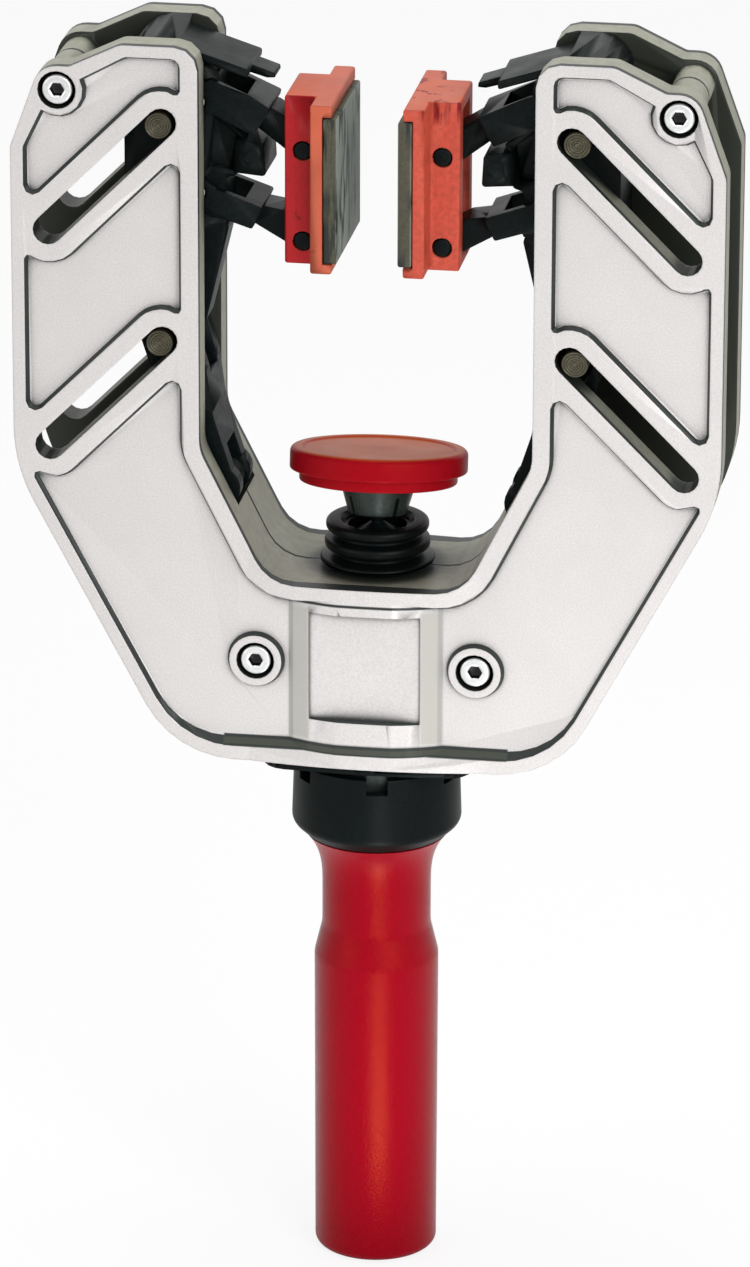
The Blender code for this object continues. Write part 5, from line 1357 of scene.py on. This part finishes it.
@dataclass(frozen=True)
class Lamp:
    """A large soft lamp that looks at the clamp."""

    name: str
    place: tuple[float, float, float]
    size: float
    watts: float

    def build(self, target: Vector) -> None:
        """Hang the lamp so that it faces the target."""
        turn = (target - Vector(self.place)).to_track_quat("-Z", "Y").to_euler()
        hang(self.name, self.watts, (self.size, self.size), self.place, turn)


@dataclass(frozen=True)
class StripLamp:
    """A long narrow lamp that lies on the floor and shines up at the grip."""

    azimuth_deg: float = 14.0
    near: float = 0.05
    far: float = 0.62
    width: float = 0.024
    height: float = 0.003
    watts: float = 0.42

    def build(self) -> None:
        """Lay the lamp down along its direction from the clamp, unseen by the camera."""
        turn, middle = math.radians(self.azimuth_deg), (self.near + self.far) / 2
        place = (middle * math.sin(turn), -middle * math.cos(turn), self.height)
        lamp = hang("strip_lamp", self.watts, (self.width, self.far - self.near), place,
                    (math.pi, 0.0, turn))
        lamp.visible_camera = False


@dataclass
class Studio:
    """The camera, the lamps, the pale floor and the white surround."""

    azimuth_deg: float = 9.06
    elevation_deg: float = 19.93
    roll_deg: float = 0.16
    distance: float = 1.72
    target: tuple[float, float, float] = (-0.00052, 0.0, 0.1421)
    long_side_focal: float = 8000.0 / 1267.0
    sensor: float = 36.0
    clip: Pair = (0.05, 20.0)
    floor_half: float = 6.0
    floor_drop: float = 0.0002
    floor_roughness: float = 0.9
    floor_tones: Pair = (0.86, 0.90)
    floor_glow: float = 1.06
    glow_share: float = 0.80
    world_light: float = 0.33
    strip: StripLamp = StripLamp()
    lamps: tuple[Lamp, ...] = (
        Lamp("key_lamp", (0.85, -1.15, 0.70), 0.8, 12.0),
        Lamp("fill_lamp", (-1.1, -1.0, 0.40), 0.9, 3.0),
        Lamp("top_lamp", (-0.1, 0.1, 1.3), 0.7, 6.0),
    )

    def build(self) -> None:
        """Set up everything round the clamp."""
        for lamp in self.lamps:
            lamp.build(Vector(self.target))
        self.strip.build()
        self.camera()
        self.floor()
        self.surround()
        bpy.context.scene.view_settings.view_transform = "Standard"

    def camera(self) -> None:
        """Put the camera where the photograph was taken from."""
        across, up = math.radians(self.azimuth_deg), math.radians(self.elevation_deg)
        back = Vector((math.sin(across) * math.cos(up), -math.cos(across) * math.cos(up),
                       math.sin(up)))
        lens = bpy.data.cameras.new("camera")
        lens.sensor_fit = "AUTO"
        lens.sensor_width = self.sensor
        lens.lens = self.long_side_focal * self.sensor
        lens.clip_start, lens.clip_end = self.clip
        thing = put("camera", lens)
        thing.location = Vector(self.target) + back * self.distance
        turn = (-back).to_track_quat("-Z", "Y").to_matrix().to_4x4()
        roll = Matrix.Rotation(math.radians(self.roll_deg), 4, "Z")
        thing.rotation_euler = (turn @ roll).to_euler()
        bpy.context.scene.camera = thing

    def floor(self) -> None:
        """Lay the floor, near white to the camera, with the clamp's shadow on it."""
        builder = bmesh.new()
        bmesh.ops.create_grid(builder, x_segments=1, y_segments=1, size=self.floor_half)
        floor = mesh_object("floor", builder)
        floor.data.transform(Matrix.Translation((0, 0, -self.floor_drop)))
        board = Board("pale_floor")
        board.join(self.floor_roughness, board.shader.inputs["Roughness"])
        low, high = ((tone, tone, tone) for tone in self.floor_tones)
        board.paint(board.blend(board.noise(3.0, 2.0), low, high))
        glow = board.add("Emission", Color=WHITE, Strength=self.floor_glow)
        seen = board.add("LightPath").outputs["Is Camera Ray"]
        board.surface(board.math("MULTIPLY", seen, self.glow_share), board.shader, glow,
                      "Material Output")
        floor.data.materials.append(board.material)

    def surround(self) -> None:
        """Make the world white to the eye and to reflections, and plain as a light."""
        world = bpy.data.worlds.new("surround")
        bpy.context.scene.world = world
        world.use_nodes = True
        sky = Nodes(world.node_tree)
        plain = sky.tree.nodes["Background"]
        sky.join(WHITE, plain.inputs["Color"])
        sky.join(self.world_light, plain.inputs["Strength"])
        white = sky.add("Background", Color=WHITE, Strength=1.0)
        rays = sky.add("LightPath").outputs
        seen = rays["Is Camera Ray"]
        for name in ("Is Glossy Ray", "Is Transmission Ray"):
            seen = sky.math("MAXIMUM", seen, rays[name])
        sky.surface(seen, plain, white, "World Output")


def main() -> None:
    """Build the clamp's pieces in order, then the studio round them."""
    logging.basicConfig(level=logging.INFO, format="%(name)s: %(message)s")
    paints = Finishes().build()
    trees = {"rows": row_tree(), "wire": wire_tree(), "notches": notch_tree()}
    FrameCastings(paints, trees).build()
    SpindleSeal(paints, trees).build()
    GripAndCollar(paints, trees).build()
    PressureDisc(paints, trees).build()
    for arm, jaw_paint in ((Arm.LEFT, "red_jaw"), (Arm.RIGHT, "worn_jaw")):
        JawSide(paints, trees, arm, jaw_paint).build()
    Studio().build()


if __name__ == "__main__":
    main()
